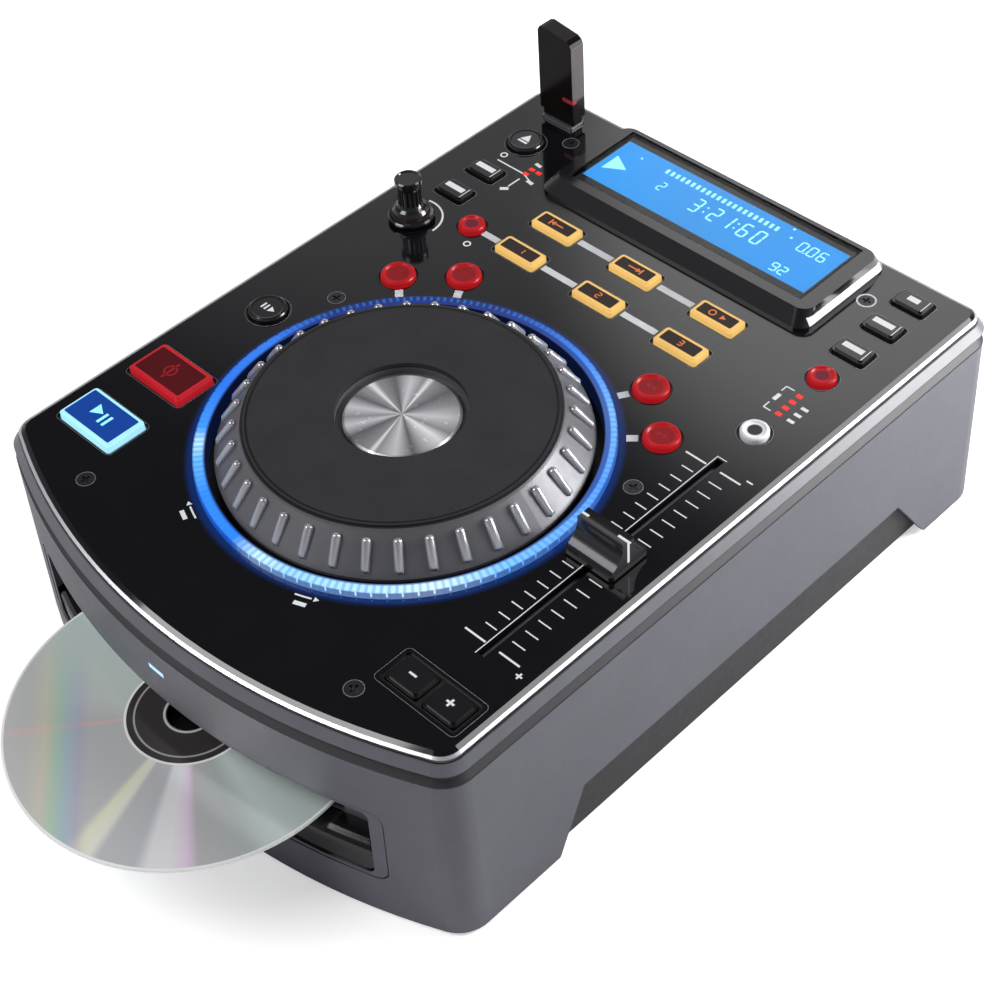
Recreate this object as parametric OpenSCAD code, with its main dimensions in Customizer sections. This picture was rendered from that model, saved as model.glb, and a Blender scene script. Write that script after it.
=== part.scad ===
// Tabletop disc player for DJs: slot drive in the bowed front, jog wheel, pitch fader,
// transport and cue buttons, raised display, USB port on top, sockets at the rear.
// Z is up, the front faces -Y, and the origin is on the table below the housing's centre.

/* [Housing] */
// Width of the housing at its foot
housing_w = 215; // [205:1:230]
// Depth of the housing at its foot, at the middle of the bowed front
housing_d = 288; // [280:1:300]
// Radius of the bowed front at the foot
bow_r = 240; // [225:1:280]
// Corner radius of the housing at the front foot
front_corner_r = 12.6; // [11:0.2:15]
// Corner radius of the housing at the rear foot
rear_corner_r = 11; // [10:0.2:15]
// Height of the housing's foot above the table
foot_gap = 1.5; // [1:0.1:2.5]
// Height of the wall's top edge above the table
wall_top = 73.5; // [72:0.5:74.5]
// Thickness of the housing's walls
wall_t = 2.6; // [2.2:0.1:3]
// How far the walls lean in from foot to top
wall_lean = 1.6; // [0.8:0.1:2]
// Height of the cut-out along each side
side_cut_h = 27; // [20:1:30]
// Front end of the side cut-out at its top
side_cut_front = -66; // [-80:1:-50]
// Rear end of the side cut-out at its top
side_cut_rear = 94; // [85:1:100]
// Slant of the side cut-out's front end
side_cut_slant_f = 13; // [8:1:16]
// Slant of the side cut-out's rear end
side_cut_slant_r = 19; // [12:1:22]

/* [Disc slot] */
// Height of the disc's middle above the table
disc_z = 36.1; // [35.5:0.1:37]
// Diameter of the disc
disc_d = 120; // [118:1:120]
// Width of the pocket round the slot
pocket_w = 168; // [160:1:172]
// Lower edge of the pocket
pocket_low = 18.5; // [17:0.5:20]
// Upper edge of the pocket
pocket_high = 52; // [50:0.5:53]
// Depth of the pocket at the slot's mouth
pocket_depth = 10; // [8:0.5:11]
// Width of the slot bezel's frame at each end
bezel_w = 4.4; // [3:0.2:6]
// Seam between the slot bezel and the housing
seam = 0.5; // [0.3:0.1:0.7]
// Clear height of the slot
slot_h = 6; // [5.4:0.2:6.4]
// Clear width of the slot
slot_w = 125; // [123:1:127]

/* [Top plate] */
// Height of the top plate's surface above the table
plate_top = 84.6; // [84:0.1:85.4]
// Thickness of the top plate
plate_t = 3; // [2.6:0.1:3.2]
// Distance of the top plate's edge from the foot's outline
plate_inset = 4.6; // [4.2:0.1:5]
// Width of the bevel round the top plate
bevel_w = 2.4; // [1.5:0.1:3]
// Height of the bevel round the top plate
bevel_h = 1.4; // [0.8:0.1:1.6]

/* [Jog wheel] */
// Place of the jog wheel's axis along Y
jog_y = -34.6; // [-36:0.1:-33]
// Width of the jog wheel's sloping skirt, seen from above
skirt_w = 10.8; // [9:0.1:12]
// Gap between the jog wheel's skirt and the light ring
skirt_gap = 2.7; // [2.4:0.1:4]
// Height of the pad's surface above the table
pad_top = 98.2; // [97.5:0.1:99]
// Number of ribs round the skirt
rib_n = 36; // [24:1:40]
// Radius of one rib
rib_r = 1.2; // [0.9:0.1:1.4]
// Radius of the metal hub cap
hub_cap_r = 19.4; // [18:0.1:20.5]
// Gap between the light ring and the fader cap
ring_gap = 3.5; // [3:0.1:5]
// Width of the light ring
ring_w = 4.2; // [3.8:0.1:4.8]
// Height of the light ring above the top plate
ring_h = 2.2; // [1.5:0.1:2.6]

/* [Controls] */
// Distance of the two outer control columns from the housing's sides
column_inset = 25.1; // [24.5:0.1:26]
// Travel of a button
button_travel = 1; // [0.6:0.1:1]
// Clearance round a button in its hole
button_gap = 0.3; // [0.2:0.05:0.4]
// Width of the shallow well round a button
well_w = 0.9; // [0.6:0.1:1.1]
// Depth of the shallow well round a button
well_t = 0.5; // [0.3:0.1:0.8]
// Height of a button above the top plate
button_rise = 1.9; // [1.4:0.1:2.4]
// Width of the play and cue buttons
big_w = 26.4; // [25:0.2:27]
// Depth of the play and cue buttons
big_d = 16; // [15:0.2:16.6]
// Width of the six lit loop and cue point buttons
amber_w = 18.6; // [17:0.2:19.4]
// Depth of the six lit loop and cue point buttons
amber_d = 8.4; // [7.6:0.2:8.8]
// Width of the small rectangular buttons
small_w = 12.6; // [11.5:0.2:13.4]
// Depth of the small rectangular buttons
small_d = 7.8; // [7:0.2:8.2]
// Radius of the eject and stutter buttons
round_r = 6.9; // [6.2:0.1:7.2]
// Radius of the four large red buttons
red_r = 6.2; // [5.6:0.1:6.4]
// Radius of the small red, key lock and range buttons
mini_r = 4.9; // [4.4:0.1:5.2]
// Middle of the pitch fader's travel along Y
fader_y = -28.3; // [-30:0.1:-27]
// Travel of the pitch fader
fader_travel = 100; // [98:1:100]
// Width of the fader cap
cap_w = 20; // [18:0.5:20.5]
// Depth of the fader cap
cap_d = 17; // [15:0.5:17.5]
// Height of the fader cap's ridge above the table
cap_top = 97; // [95:0.5:98]
// Radius of the track knob's head
knob_r = 5; // [4.6:0.1:5.4]
// Radius of the track knob's foot
knob_foot_r = 8.6; // [7.5:0.1:9]
// Height of the track knob's top above the table
knob_top = 102.5; // [101:0.5:106]

/* [Display] */
// Left edge of the display hood at its foot
hood_left = -59; // [-60:0.5:-58]
// Right edge of the display hood at its foot
hood_right = 64; // [62.5:0.5:64]
// Front edge of the display hood at its foot
hood_front = 89.4; // [89:0.2:90.4]
// Rear edge of the display hood at its foot
hood_rear = 136.8; // [135:0.2:137]
// Height of the display hood above the top plate
hood_h = 6.4; // [5:0.2:7]

/* [Inside] */
// Thickness of the circuit boards
board_t = 1.6; // [1.4:0.1:1.8]
// Height of the control board's upper face above the table
control_z = 75.6; // [75.4:0.1:75.8]
// Place of the disc spindle along Y
spindle_y = -57; // [-58:0.5:-56]
// How far the traverse rises to take the disc
traverse_lift = 3.7; // [3:0.1:3.7]
// Radius of the feed roller
roller_r = 5; // [4.5:0.1:5.2]

/* [Memory stick] */
// Width of the memory stick
stick_w = 17; // [16:0.5:18]
// Thickness of the memory stick
stick_t = 6.5; // [6:0.1:7]
// Height of the memory stick's top above the table
stick_top = 125.5; // [122:0.5:131]

/* [Hidden] */
$fn = 64;
eps = 0.01;

// Outline of the housing: every level is an inset of the foot's outline round fixed centres
half_w = housing_w / 2;
half_d = housing_d / 2;
bow_y = bow_r - half_d;
front_cx = half_w - front_corner_r;
front_cy = bow_y - sqrt(pow(bow_r - front_corner_r, 2) - pow(front_cx, 2));
rear_cx = half_w - rear_corner_r;
rear_cy = half_d - rear_corner_r;
bow_angle = asin(front_cx / (bow_r - front_corner_r));

plate_low = plate_top - plate_t;
column_x = half_w - column_inset;
ring_r = column_x - cap_w / 2 - ring_gap;
frame_w = 9.4;
rim_z = 78.8;
rim_inset = 1.9;
groove_inset = 3.7;

// Slot and disc
disc_r = disc_d / 2;
disc_t = 1.2;
disc_hole_r = 7.5;
disc_low = disc_z - disc_t / 2;
disc_high = disc_z + disc_t / 2;
disc_y = -134.8;
disc_in = spindle_y - disc_y;
slot_low = disc_z - slot_h / 2;
slot_high = disc_z + slot_h / 2;
pocket_block = 16;
pocket_corner = 5;
pocket_mid = (pocket_low + pocket_high) / 2;
bezel_back = bow_r - pocket_depth - 1.2;
frame_t = 0.9;
lip_low = pocket_low + seam + frame_t;
lip_w = pocket_w - 2 * (seam + bezel_w);
lamp_z = 64.3;

// Buttons
flange_t = 2.2;
flange_w = 1;
flange_top = plate_low - button_gap;
flange_low = flange_top - flange_t;
switch_top = flange_low - button_travel - 0.3;
button_top = plate_top + button_rise;
crown = 0.7;

// Button places: [x, y]
play_at = [-column_x + 0.9, -95.6];
cue_at = [-column_x + 0.9, -66.2];
stutter_at = [-column_x, -22.2];
knob_at = [-column_x, 47.1];
time_at = [-column_x + 1.2, 68];
program_at = [-column_x + 1.2, 84];
eject_at = [-column_x, 106.9];
reverse_at = [-column_x + 20.4, 57.8];
arc_r = ring_r + 14.1;
low_arc = 41.9;
high_arc = 58.1;
effect_at = [arc_place(180 - low_arc), arc_place(180 - high_arc)];
search_at = [arc_place(high_arc), arc_place(low_arc)];
amber_pitch = column_x - 44.8;
amber_x = [-amber_pitch, 0, amber_pitch];
loop_y = 76.8;
point_y = 57.9;
mode_at = [[column_x, 126.2], [column_x, 109.8], [column_x, 93.3]];
key_lock_at = [column_x, 76.9];
range_at = [column_x, 42.4];
bend_at = [[column_x - 8.7, -101.8], [column_x + 6.8, -101.8]];
bend_w = 13.2;
bend_d = 10.4;
RECTS = [[play_at, big_w, big_d], [cue_at, big_w, big_d],
  [time_at, small_w, small_d], [program_at, small_w, small_d],
  [mode_at[0], small_w, small_d], [mode_at[1], small_w, small_d], [mode_at[2], small_w, small_d],
  [bend_at[0], bend_w, bend_d], [bend_at[1], bend_w, bend_d],
  for (x = amber_x) [[x, loop_y], amber_w, amber_d],
  for (x = amber_x) [[x, point_y], amber_w, amber_d]];
ROUNDS = [[stutter_at, round_r], [eject_at, round_r], [reverse_at, mini_r],
  [effect_at[0], red_r], [effect_at[1], red_r], [search_at[0], red_r], [search_at[1], red_r],
  [key_lock_at, mini_r], [range_at, mini_r]];
rect_corner = 1.2;

// Screws: [x, y]
front_screw_x = half_w - 43.5;
side_screw_x = half_w - 37.9;
rear_screw_x = half_w - 38.2;
base_screw_x = half_w - 15.5;
PLATE_SCREWS = [[-front_screw_x, -116], [front_screw_x, -116], [-side_screw_x, -1.6],
  [side_screw_x, -1.6], [-rear_screw_x, 117.8], [rear_screw_x, 117.8]];
BASE_SCREWS = [[-base_screw_x, -102], [base_screw_x, -102], [-base_screw_x, 118], [base_screw_x, 118]];
foot_x = half_w - 33.5;
foot_y = 100;
foot_r = 8;
screw_r = 1.5;
head_r = 3;
head_h = 1.6;
boss_top = 5;
sink_z = foot_gap + head_h + 0.3;
fit = 0.05;

// Jog wheel
skirt_r = ring_r - ring_w - skirt_gap;
pad_r = skirt_r - skirt_w;
hub_recess_r = hub_cap_r + 2.4;
platter_top = pad_top - 1.6;
platter_low = plate_top - 0.4;
platter_t = 2.4;
platter_hub_z = platter_top - 3;
post_r = 6;
post_top = 91;
base_low = 77.4;
base_top = 79.4;
base_r = ring_r + 1.3;
ear_w = 9;
code_r = pad_r - 5.2;

// Fader and knob
slot_len = fader_travel + 8;
stem_x = 1.2;
stem_y = 5;
cap_low = plate_top + 0.8;
knob_low = plate_top + 1.4;
shaft_r = 3;
bush_r = 3.6;

// Display
glass = [-50.5, 97.5, 56.5, 132];
glass_top = plate_top + hood_h - 0.5;
glass_t = 1.1;
panel_z = glass_top - glass_t - 0.1;

// Memory stick and its port
stick_at = [-column_x + 0.4, 127];
plug_w = 12;
plug_t = 4.5;
port_gap = 0.1;
collar_low = plate_top + 1.6;
stick_low = 89;
plug_low = 75;

// Drive
chassis_x = 66;
chassis_wall = 1.6;
chassis_front = -117;
chassis_rear = 16;
chassis_top = 45.5;
roller_y = -109;
roller_z = disc_low - roller_r - 0.3;
traverse_z = 20;
traverse_t = 1.6;
hub_top = disc_low - traverse_lift - 0.3;
rod_x = 17;
rod_z = 25;
rod_end = 7;
clamp_z = disc_high + 1.6;

// Rear sockets
jack_z = 47;
jack_pitch = 18;
JACK_X = [for (i = [0:2]) -half_w + 31.5 + i * jack_pitch];
jack_r = 4.15;
usb_b_x = -10;
switch_x = half_w - 71.5;
switch_w = 20.8;
switch_d = 15.8;
rocker_tilt = 8;
inlet_x = half_w - 35.5;
rear_face = half_d - wall_lean * (jack_z - foot_gap) / (wall_top - foot_gap);
rear_inner = rear_face - wall_t - 0.3;
rear_seat = rear_face + 0.3;
pivot_y = rear_face - 3.4;
main_z = 38;
supply_z = 8;
board_x = half_w - 13.5;
supply_x = half_w - 11.5;

// Place on the arc of large buttons round the jog wheel, at angle a
function arc_place(a) = [arc_r * cos(a), jog_y + arc_r * sin(a)];

// One level of the housing's outline, inset by in0 at z0 and by in1 at z1
module level(in0, in1, z0, z1) {
  h = z1 - z0;
  for (s = [-1, 1]) {
    translate([s * front_cx, front_cy, z0])
      cylinder(r1 = front_corner_r - in0, r2 = front_corner_r - in1, h = h);
    translate([s * rear_cx, rear_cy, z0])
      cylinder(r1 = rear_corner_r - in0, r2 = rear_corner_r - in1, h = h);
  }
  translate([0, rear_cy, 0]) rotate([90, 0, 0]) linear_extrude(rear_cy - front_cy)
    polygon([[-half_w + in0, z0], [half_w - in0, z0], [half_w - in1, z1], [-half_w + in1, z1]]);
  translate([-rear_cx, 0, 0]) rotate([90, 0, 90]) linear_extrude(2 * rear_cx)
    polygon([[0, z0], [half_d - in0, z0], [half_d - in1, z1], [0, z1]]);
  intersection() {
    translate([0, bow_y, z0]) cylinder(r1 = bow_r - in0, r2 = bow_r - in1, h = h, $fn = 360);
    translate([0, 0, z0]) linear_extrude(h) bow_sector();
  }
}

// Sector of the bowed front, between the lines through the corner centres
module bow_sector() {
  reach = (bow_r + 5) / cos(bow_angle);
  polygon([[0, bow_y], for (s = [-1, 1]) [s * reach * sin(bow_angle), bow_y - reach * cos(bow_angle)]]);
}

// Rectangle with round corners, about its centre
module rounded(w, d, r) {
  square([w - 2 * r, d], center = true);
  square([w, d - 2 * r], center = true);
  for (x = [-1, 1], y = [-1, 1])
    translate([x * (w / 2 - r), y * (d / 2 - r)]) circle(r, $fn = 32);
}

// Ring about the Z axis
module tube(ro, ri, z0, z1) {
  translate([0, 0, z0]) difference() {
    cylinder(r = ro, h = z1 - z0);
    translate([0, 0, -1]) cylinder(r = ri, h = z1 - z0 + 2);
  }
}

// Box from one corner to the other
module span(a, b) {
  translate(a) cube(b - a);
}

// Section [radius, z] swept along the bowed front, within a rounded window [width, z0, z1, corner]
module along_bow(section, window) {
  intersection() {
    translate([0, bow_y, 0]) rotate_extrude($fn = 360) polygon(section);
    translate([0, -half_d + 40, (window[1] + window[2]) / 2]) rotate([90, 0, 0])
      linear_extrude(60) rounded(window[0], window[2] - window[1], window[3]);
  }
}

// One side cut-out, through the wall at the given side
module side_cut(s) {
  translate([s * half_w + 4, 0, 0]) rotate([90, 0, -90]) linear_extrude(8)
    polygon([[-side_cut_front, side_cut_h], [-side_cut_rear, side_cut_h],
      [-side_cut_rear - side_cut_slant_r, 0], [-side_cut_front + side_cut_slant_f, 0]]);
}

// Openings in the rear wall for the sockets
module rear_holes() {
  translate([0, half_d - 8, jack_z]) rotate([-90, 0, 0]) {
    for (x = JACK_X) translate([x, 0, 0]) cylinder(r = jack_r + 0.25, h = 12);
    translate([usb_b_x, 0, 6]) cube([12.6, 11.6, 12], center = true);
    translate([switch_x, 0, 6]) cube([switch_w + 0.6, switch_d + 0.6, 12], center = true);
    translate([inlet_x, 0, 6]) cube([28.6, 20.6, 12], center = true);
  }
}

// The housing's shell, with the slot's bezel and lip set into its front as pieces of their own
module case_shell() {
  color([0.34, 0.34, 0.38]) housing_wall();
  color([0.38, 0.38, 0.42]) slot_bezel();
  color([0.06, 0.06, 0.07]) slot_lip();
}

module housing_wall() {
  difference() {
    union() {
      difference() {
        level(0, wall_lean, foot_gap, wall_top);
        level(wall_t, wall_t + wall_lean, foot_gap - eps, wall_top + eps);
      }
      intersection() {
        level(1, 1 + wall_lean, foot_gap, wall_top);
        difference() {
          span([-pocket_w / 2 - 3, -half_d, pocket_low - 3],
            [pocket_w / 2 + 3, -half_d + 40, pocket_high + 3]);
          translate([0, bow_y, 0]) cylinder(r = bow_r - pocket_block, h = wall_top, $fn = 360);
        }
      }
      for (p = BASE_SCREWS) translate([p[0], p[1], boss_top + 0.1]) {
        rib = half_w - abs(p[0]) - 1.5;
        cylinder(r = 4, h = 28);
        translate([p[0] > 0 ? 0 : -rib, -1, 0]) cube([rib, 2, 28]);
      }
    }
    along_bow([[bezel_back, 0], [bow_r + 4, 0], [bow_r + 4, wall_top], [bezel_back, wall_top]],
      [pocket_w, pocket_low, pocket_high, pocket_corner]);
    disc_slot();
    for (s = [-1, 1]) side_cut(s);
    rear_holes();
    translate([0, -half_d, lamp_z]) cube([7.2, 12, 2], center = true);
    for (p = BASE_SCREWS) translate([p[0], p[1], 3]) cylinder(r = screw_r + fit, h = 14);
  }
}

// Way of the disc through the front
module disc_slot() {
  span([-slot_w / 2, -half_d - 1, slot_low], [slot_w / 2, -half_d + 40, slot_high]);
}

// Moulded insert round the slot: a flush frame, and a panel that slopes in to the slot
module slot_bezel() {
  window = [pocket_w - 2 * seam, pocket_low + seam, pocket_high - seam, pocket_corner - seam];
  hollow = [lip_w, lip_low, pocket_high - seam - frame_t, 3];
  mouth_r = bow_r - pocket_depth;
  difference() {
    along_bow([[bezel_back + fit, pocket_low], [bow_r - 0.6, pocket_low], [bow_r - 1.3, pocket_high],
      [bezel_back + fit, pocket_high]], window);
    along_bow([[mouth_r, pocket_low], [bow_r + 4, pocket_low], [bow_r + 4, pocket_high],
      [bow_r - 1.8, pocket_high], [mouth_r, slot_high]], hollow);
    disc_slot();
  }
}

// Glossy lip below the slot, rolled over at its top and turned down at its ends
module slot_lip() {
  top = slot_low - 1.2;
  along_bow([[bow_r - pocket_depth + fit, lip_low], [bow_r - 1.3, lip_low], [bow_r - 1.3, top - 3.4],
    [bow_r - 1.8, top - 1.8], [bow_r - 2.9, top - 0.7], [bow_r - 4.6, top - 0.1],
    [bow_r - pocket_depth + fit, top]], [lip_w - 2 * fit, lip_low + fit, top, 5]);
}

module bottom_tray() {
  floor_z = foot_gap + 2;
  in0 = wall_t + wall_lean + 0.3;
  color([0.12, 0.12, 0.13]) difference() {
    union() {
      level(in0, in0, foot_gap, floor_z);
      intersection() {
        difference() {
          level(in0, in0, foot_gap, side_cut_h + 3);
          level(in0 + 1.5, in0 + 1.5, foot_gap - 1, side_cut_h + 4);
        }
        span([-half_w, side_cut_front - 18, 0], [half_w, side_cut_rear + 22, side_cut_h + 3]);
      }
      for (x = [-1, 1], y = [chassis_front + 8, chassis_rear - 8])
        translate([x * (chassis_x - 8), y, foot_gap]) cylinder(r = 4, h = 12 - foot_gap);
      for (x = [-board_x + 6, -8], y = [66, 128])
        translate([x, y, foot_gap]) cylinder(r = 3, h = main_z - foot_gap);
      for (x = [30, supply_x - 4], y = [62, 104])
        translate([x, y, foot_gap]) cylinder(r = 3, h = supply_z - foot_gap);
      for (p = BASE_SCREWS) translate([p[0], p[1], foot_gap]) cylinder(r = 5.4, h = boss_top - foot_gap);
    }
    for (p = BASE_SCREWS) translate([p[0], p[1], 0]) {
      cylinder(r = screw_r + 0.2, h = 10);
      cylinder(r = head_r + 0.2, h = sink_z);
    }
  }
}

// Lower part of the top housing: a shadow groove, then a rim that slopes in to the plate
module top_frame() {
  color([0.45, 0.45, 0.5]) difference() {
    union() {
      level(wall_lean + 0.4, groove_inset, wall_top, wall_top + 1.8);
      level(groove_inset, groove_inset, wall_top + 1.8, rim_z - 1);
      level(groove_inset, rim_inset, rim_z - 1, rim_z);
      level(rim_inset, plate_inset - 0.4, rim_z, plate_low);
    }
    difference() {
      level(frame_w, frame_w, wall_top - 1, plate_low + 1);
      for (y = [PLATE_SCREWS[0][1], PLATE_SCREWS[4][1]])
        span([-half_w, y - 4, plate_low - 4], [half_w, y + 4, plate_low]);
      for (p = PLATE_SCREWS) if (abs(p[1]) > 10)
        translate([p[0], p[1], plate_low - 5]) cylinder(r = 4.5, h = 5);
    }
    translate([0, PLATE_SCREWS[4][1], plate_low - 2]) cube([2 * (half_w - 47.5), 20, 10], center = true);
    translate([0, PLATE_SCREWS[0][1], plate_low - 2]) cube([2 * (half_w - 67.5), 20, 10], center = true);
    control_clearance();
    for (p = PLATE_SCREWS) translate([p[0], p[1], plate_low - 8]) cylinder(r = screw_r + fit, h = 12);
  }
}

// Room below the top plate for the controls that reach into the frame
module control_clearance() {
  translate([stick_at[0], stick_at[1], plate_low - 2]) cube([17, 11, 20], center = true);
  translate([mode_at[0][0], mode_at[0][1], plate_low - 2])
    cube([small_w + 4, small_d + 4, 12], center = true);
  translate([eject_at[0], eject_at[1], plate_low - 8]) cylinder(r = round_r + 2, h = 12);
  translate([mode_at[1][0], mode_at[1][1], plate_low - 2])
    cube([small_w + 4, small_d + 4, 12], center = true);
}

module top_plate() {
  color([0.07, 0.07, 0.08]) difference() {
    union() {
      level(plate_inset, plate_inset, plate_low, plate_top - bevel_h);
      level(plate_inset, plate_inset + bevel_w, plate_top - bevel_h, plate_top);
      for (p = BOARD_POSTS) translate([p[0], p[1], control_z])
        cylinder(r = 2.6, h = plate_low - control_z + 1);
    }
    translate([0, 0, plate_low - 1]) linear_extrude(plate_t + 2) {
      translate([0, jog_y]) circle(ring_r + 0.15, $fn = 180);
      for (b = RECTS) translate(b[0]) rounded(b[1] + 2 * button_gap, b[2] + 2 * button_gap, rect_corner);
      for (b = ROUNDS) translate(b[0]) circle(b[1] + button_gap);
      translate(knob_at) circle(bush_r + 0.2);
      translate([column_x, fader_y]) square([2.6, slot_len], center = true);
      translate([(glass[0] + glass[2]) / 2, (glass[1] + glass[3]) / 2])
        square([glass[2] - glass[0] - 3, glass[3] - glass[1] - 3], center = true);
      translate(stick_at) rounded(15.4, 7.8, 1);
      for (p = LED_AT) translate(p) square([2.4, 1.8], center = true);
    }
    translate([0, 0, plate_top - well_t]) linear_extrude(2) {
      for (b = RECTS) translate(b[0]) rounded(b[1] + 2 * well_w, b[2] + 2 * well_w, rect_corner + 0.6);
      for (b = ROUNDS) translate(b[0]) circle(b[1] + well_w);
    }
    for (p = PLATE_SCREWS) translate([p[0], p[1], 0]) {
      cylinder(r = screw_r + 0.3, h = 100);
      translate([0, 0, plate_top - head_h]) cylinder(r = head_r + 0.2, h = 5);
    }
    translate([(bend_at[0][0] + bend_at[1][0]) / 2, bend_at[0][1], plate_top - 0.8])
      linear_extrude(2) rounded(31.5, 13, 1.5);
  }
}

// Board posts below the top plate
edge_post_x = half_w - 14.5;
BOARD_POSTS = [[-edge_post_x, -10], [-edge_post_x, 22], [half_w - 55.5, -108], [-30, -118], [-30, 46],
  [20, 45], [-column_x + 14.4, 74], [column_x - 20.4, 60], [edge_post_x, 84]];

// Lenses of the source lights and the pitch range lights
source_x = -column_x + 13.4;
LED_AT = [[source_x, 96.4], [source_x + 3.4, 96.4], [source_x, 93],
  for (i = [0:3]) [column_x, 54.4 + 3.6 * i]];

module indicator_leds() {
  color([0.85, 0.1, 0.12]) {
    for (p = LED_AT) translate([p[0] - 1.1, p[1] - 0.8, control_z]) cube([2.2, 1.6, plate_top - control_z + 0.1]);
    translate([0, -half_d + 6.4, lamp_z]) cube([7, 10, 1.8], center = true);
  }
}

module display_hood() {
  r = 5;
  foot = [[hood_left + r, hood_front + r], [hood_right - r, hood_front + r],
    [hood_left + r, hood_rear - r], [hood_right - r, hood_rear - r]];
  top = [[hood_left + 4 + r, hood_front + 4 + r], [hood_right - 1.6 - r, hood_front + 4 + r],
    [hood_left + 4 + r, hood_rear - 3 - r], [hood_right - 1.6 - r, hood_rear - 3 - r]];
  mid = [(glass[0] + glass[2]) / 2, (glass[1] + glass[3]) / 2];
  color([0.13, 0.13, 0.15]) difference() {
    hull() {
      for (p = foot) translate([p[0], p[1], plate_top]) cylinder(r = r, h = 1, $fn = 32);
      for (p = top) translate([p[0], p[1], plate_top + hood_h - 1]) cylinder(r = r, h = 1, $fn = 32);
    }
    translate([mid[0], mid[1], glass_top - glass_t]) linear_extrude(10)
      square([glass[2] - glass[0], glass[3] - glass[1]], center = true);
    translate([mid[0], mid[1], plate_top - 1]) linear_extrude(20)
      square([glass[2] - glass[0] - 2.4, glass[3] - glass[1] - 2.4], center = true);
  }
}

module display_window() {
  color([0.2, 0.5, 0.9, 0.4])
    span([glass[0] + fit, glass[1] + fit, glass_top - glass_t], [glass[2] - fit, glass[3] - fit, glass_top]);
}

module display_module() {
  color([0, 0.57, 1]) {
    span([glass[0] + 1.6, glass[1] + 1.6, control_z], [glass[2] - 1.6, glass[3] - 1.6, panel_z]);
  }
}

module light_ring() {
  notch_n = 90;
  translate([0, jog_y, 0]) color([0.3, 0.65, 1]) difference() {
    union() {
      tube(ring_r, ring_r - ring_w, base_top, plate_top + ring_h);
      tube(base_r - 0.3, ring_r - ring_w, base_top, plate_low - 0.3);
    }
    for (i = [0:notch_n - 1]) rotate([0, 0, i * 360 / notch_n])
      translate([ring_r, 0, plate_top + ring_h / 2 + 0.4]) cube([1.2, 0.7, ring_h], center = true);
  }
}

module jog_base() {
  translate([0, jog_y, 0]) color([0.1, 0.1, 0.11]) difference() {
    union() {
      translate([0, 0, base_low]) cylinder(r = base_r, h = base_top - base_low);
      translate([0, 0, base_low]) cylinder(r = 14, h = 4);
      translate([0, 0, base_low]) cylinder(r = post_r, h = post_top - base_low);
      for (s = [-1, 1]) {
        q = [s * PLATE_SCREWS[3][0], PLATE_SCREWS[3][1] - jog_y];
        translate([q[0], q[1], base_low]) cylinder(r = 4.2, h = plate_low - base_low);
        translate([q[0], q[1], base_low]) rotate([0, 0, atan2(q[1], q[0])])
          translate([-10, -ear_w / 2, 0]) cube([10, ear_w, base_top - base_low]);
      }
      translate([code_r - 4.4, -5, base_low]) cube([2, 10, 5.2]);
    }
    for (s = [-1, 1]) translate([s * PLATE_SCREWS[3][0], PLATE_SCREWS[3][1] - jog_y, base_low - 1])
      cylinder(r = screw_r + fit, h = 12);
    translate([0, 0, base_low - 1]) cylinder(r = 2, h = 8);
  }
}

// Rib along the skirt's slope, at angle a
module skirt_rib(a) {
  low = [skirt_r - 2.2, platter_low + 2.6];
  high = [pad_r + 2.4, platter_top - 1.6];
  lean = atan2(high[0] - low[0], high[1] - low[1]);
  length = norm(high - low);
  rotate([0, 0, a]) translate([low[0], 0, low[1]]) rotate([0, lean, 0]) {
    cylinder(r = rib_r, h = length, $fn = 24);
    sphere(r = rib_r, $fn = 24);
  }
}

module jog_platter() {
  translate([0, jog_y, 0]) color([0.74, 0.74, 0.75]) {
    difference() {
      union() {
        rotate_extrude($fn = 180) polygon([[0, platter_hub_z - platter_t],
          [hub_recess_r + 2, platter_hub_z - platter_t],
          [hub_recess_r + 2, platter_top - platter_t], [pad_r - 2, platter_top - platter_t],
          [skirt_r - platter_t - 0.6, platter_low], [skirt_r, platter_low], [skirt_r, platter_low + 1.2],
          [pad_r + 1.4, platter_top], [pad_r + 1, platter_top + 0.9], [pad_r + 0.1, platter_top + 0.9],
          [pad_r + 0.1, platter_top], [hub_recess_r, platter_top], [hub_recess_r, platter_hub_z],
          [0, platter_hub_z]]);
        for (i = [0:rib_n - 1]) skirt_rib(i * 360 / rib_n + 5);
        translate([0, 0, 82.4]) cylinder(r = 9, h = platter_hub_z - 83);
        code_ring();
      }
      translate([0, 0, 80]) cylinder(r = post_r + fit, h = post_top + 0.4 - 80);
    }
  }
}

// Toothed ring below the platter that the jog sensor reads
module code_ring() {
  tooth_n = 30;
  low = 81.2;
  difference() {
    tube(code_r, code_r - 1.6, low, platter_top - platter_t + 0.5);
    for (i = [0:tooth_n - 1]) rotate([0, 0, i * 360 / tooth_n])
      translate([code_r, 0, low + 1.8]) cube([8, 4, 4], center = true);
  }
}

module jog_pad() {
  translate([0, jog_y, 0]) color([0.25, 0.25, 0.26])
    tube(pad_r, hub_recess_r, platter_top, pad_top);
}

module jog_hub_cap() {
  translate([0, jog_y, 0]) color([0.8, 0.8, 0.8])
    rotate_extrude($fn = 120) polygon([[0, platter_hub_z], [hub_cap_r, platter_hub_z],
      [hub_cap_r, platter_hub_z + 1.4], [hub_cap_r - 0.8, platter_hub_z + 2], [0, platter_hub_z + 2.4]]);
}

module fader_track() {
  w = 13;
  l = slot_len + 14;
  color([0.3, 0.3, 0.3]) translate([column_x, fader_y, control_z]) difference() {
    translate([-w / 2, -l / 2, 0]) cube([w, l, flange_top - control_z]);
    translate([-0.9, -slot_len / 2, 1]) cube([1.8, slot_len, 20]);
  }
}

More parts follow.
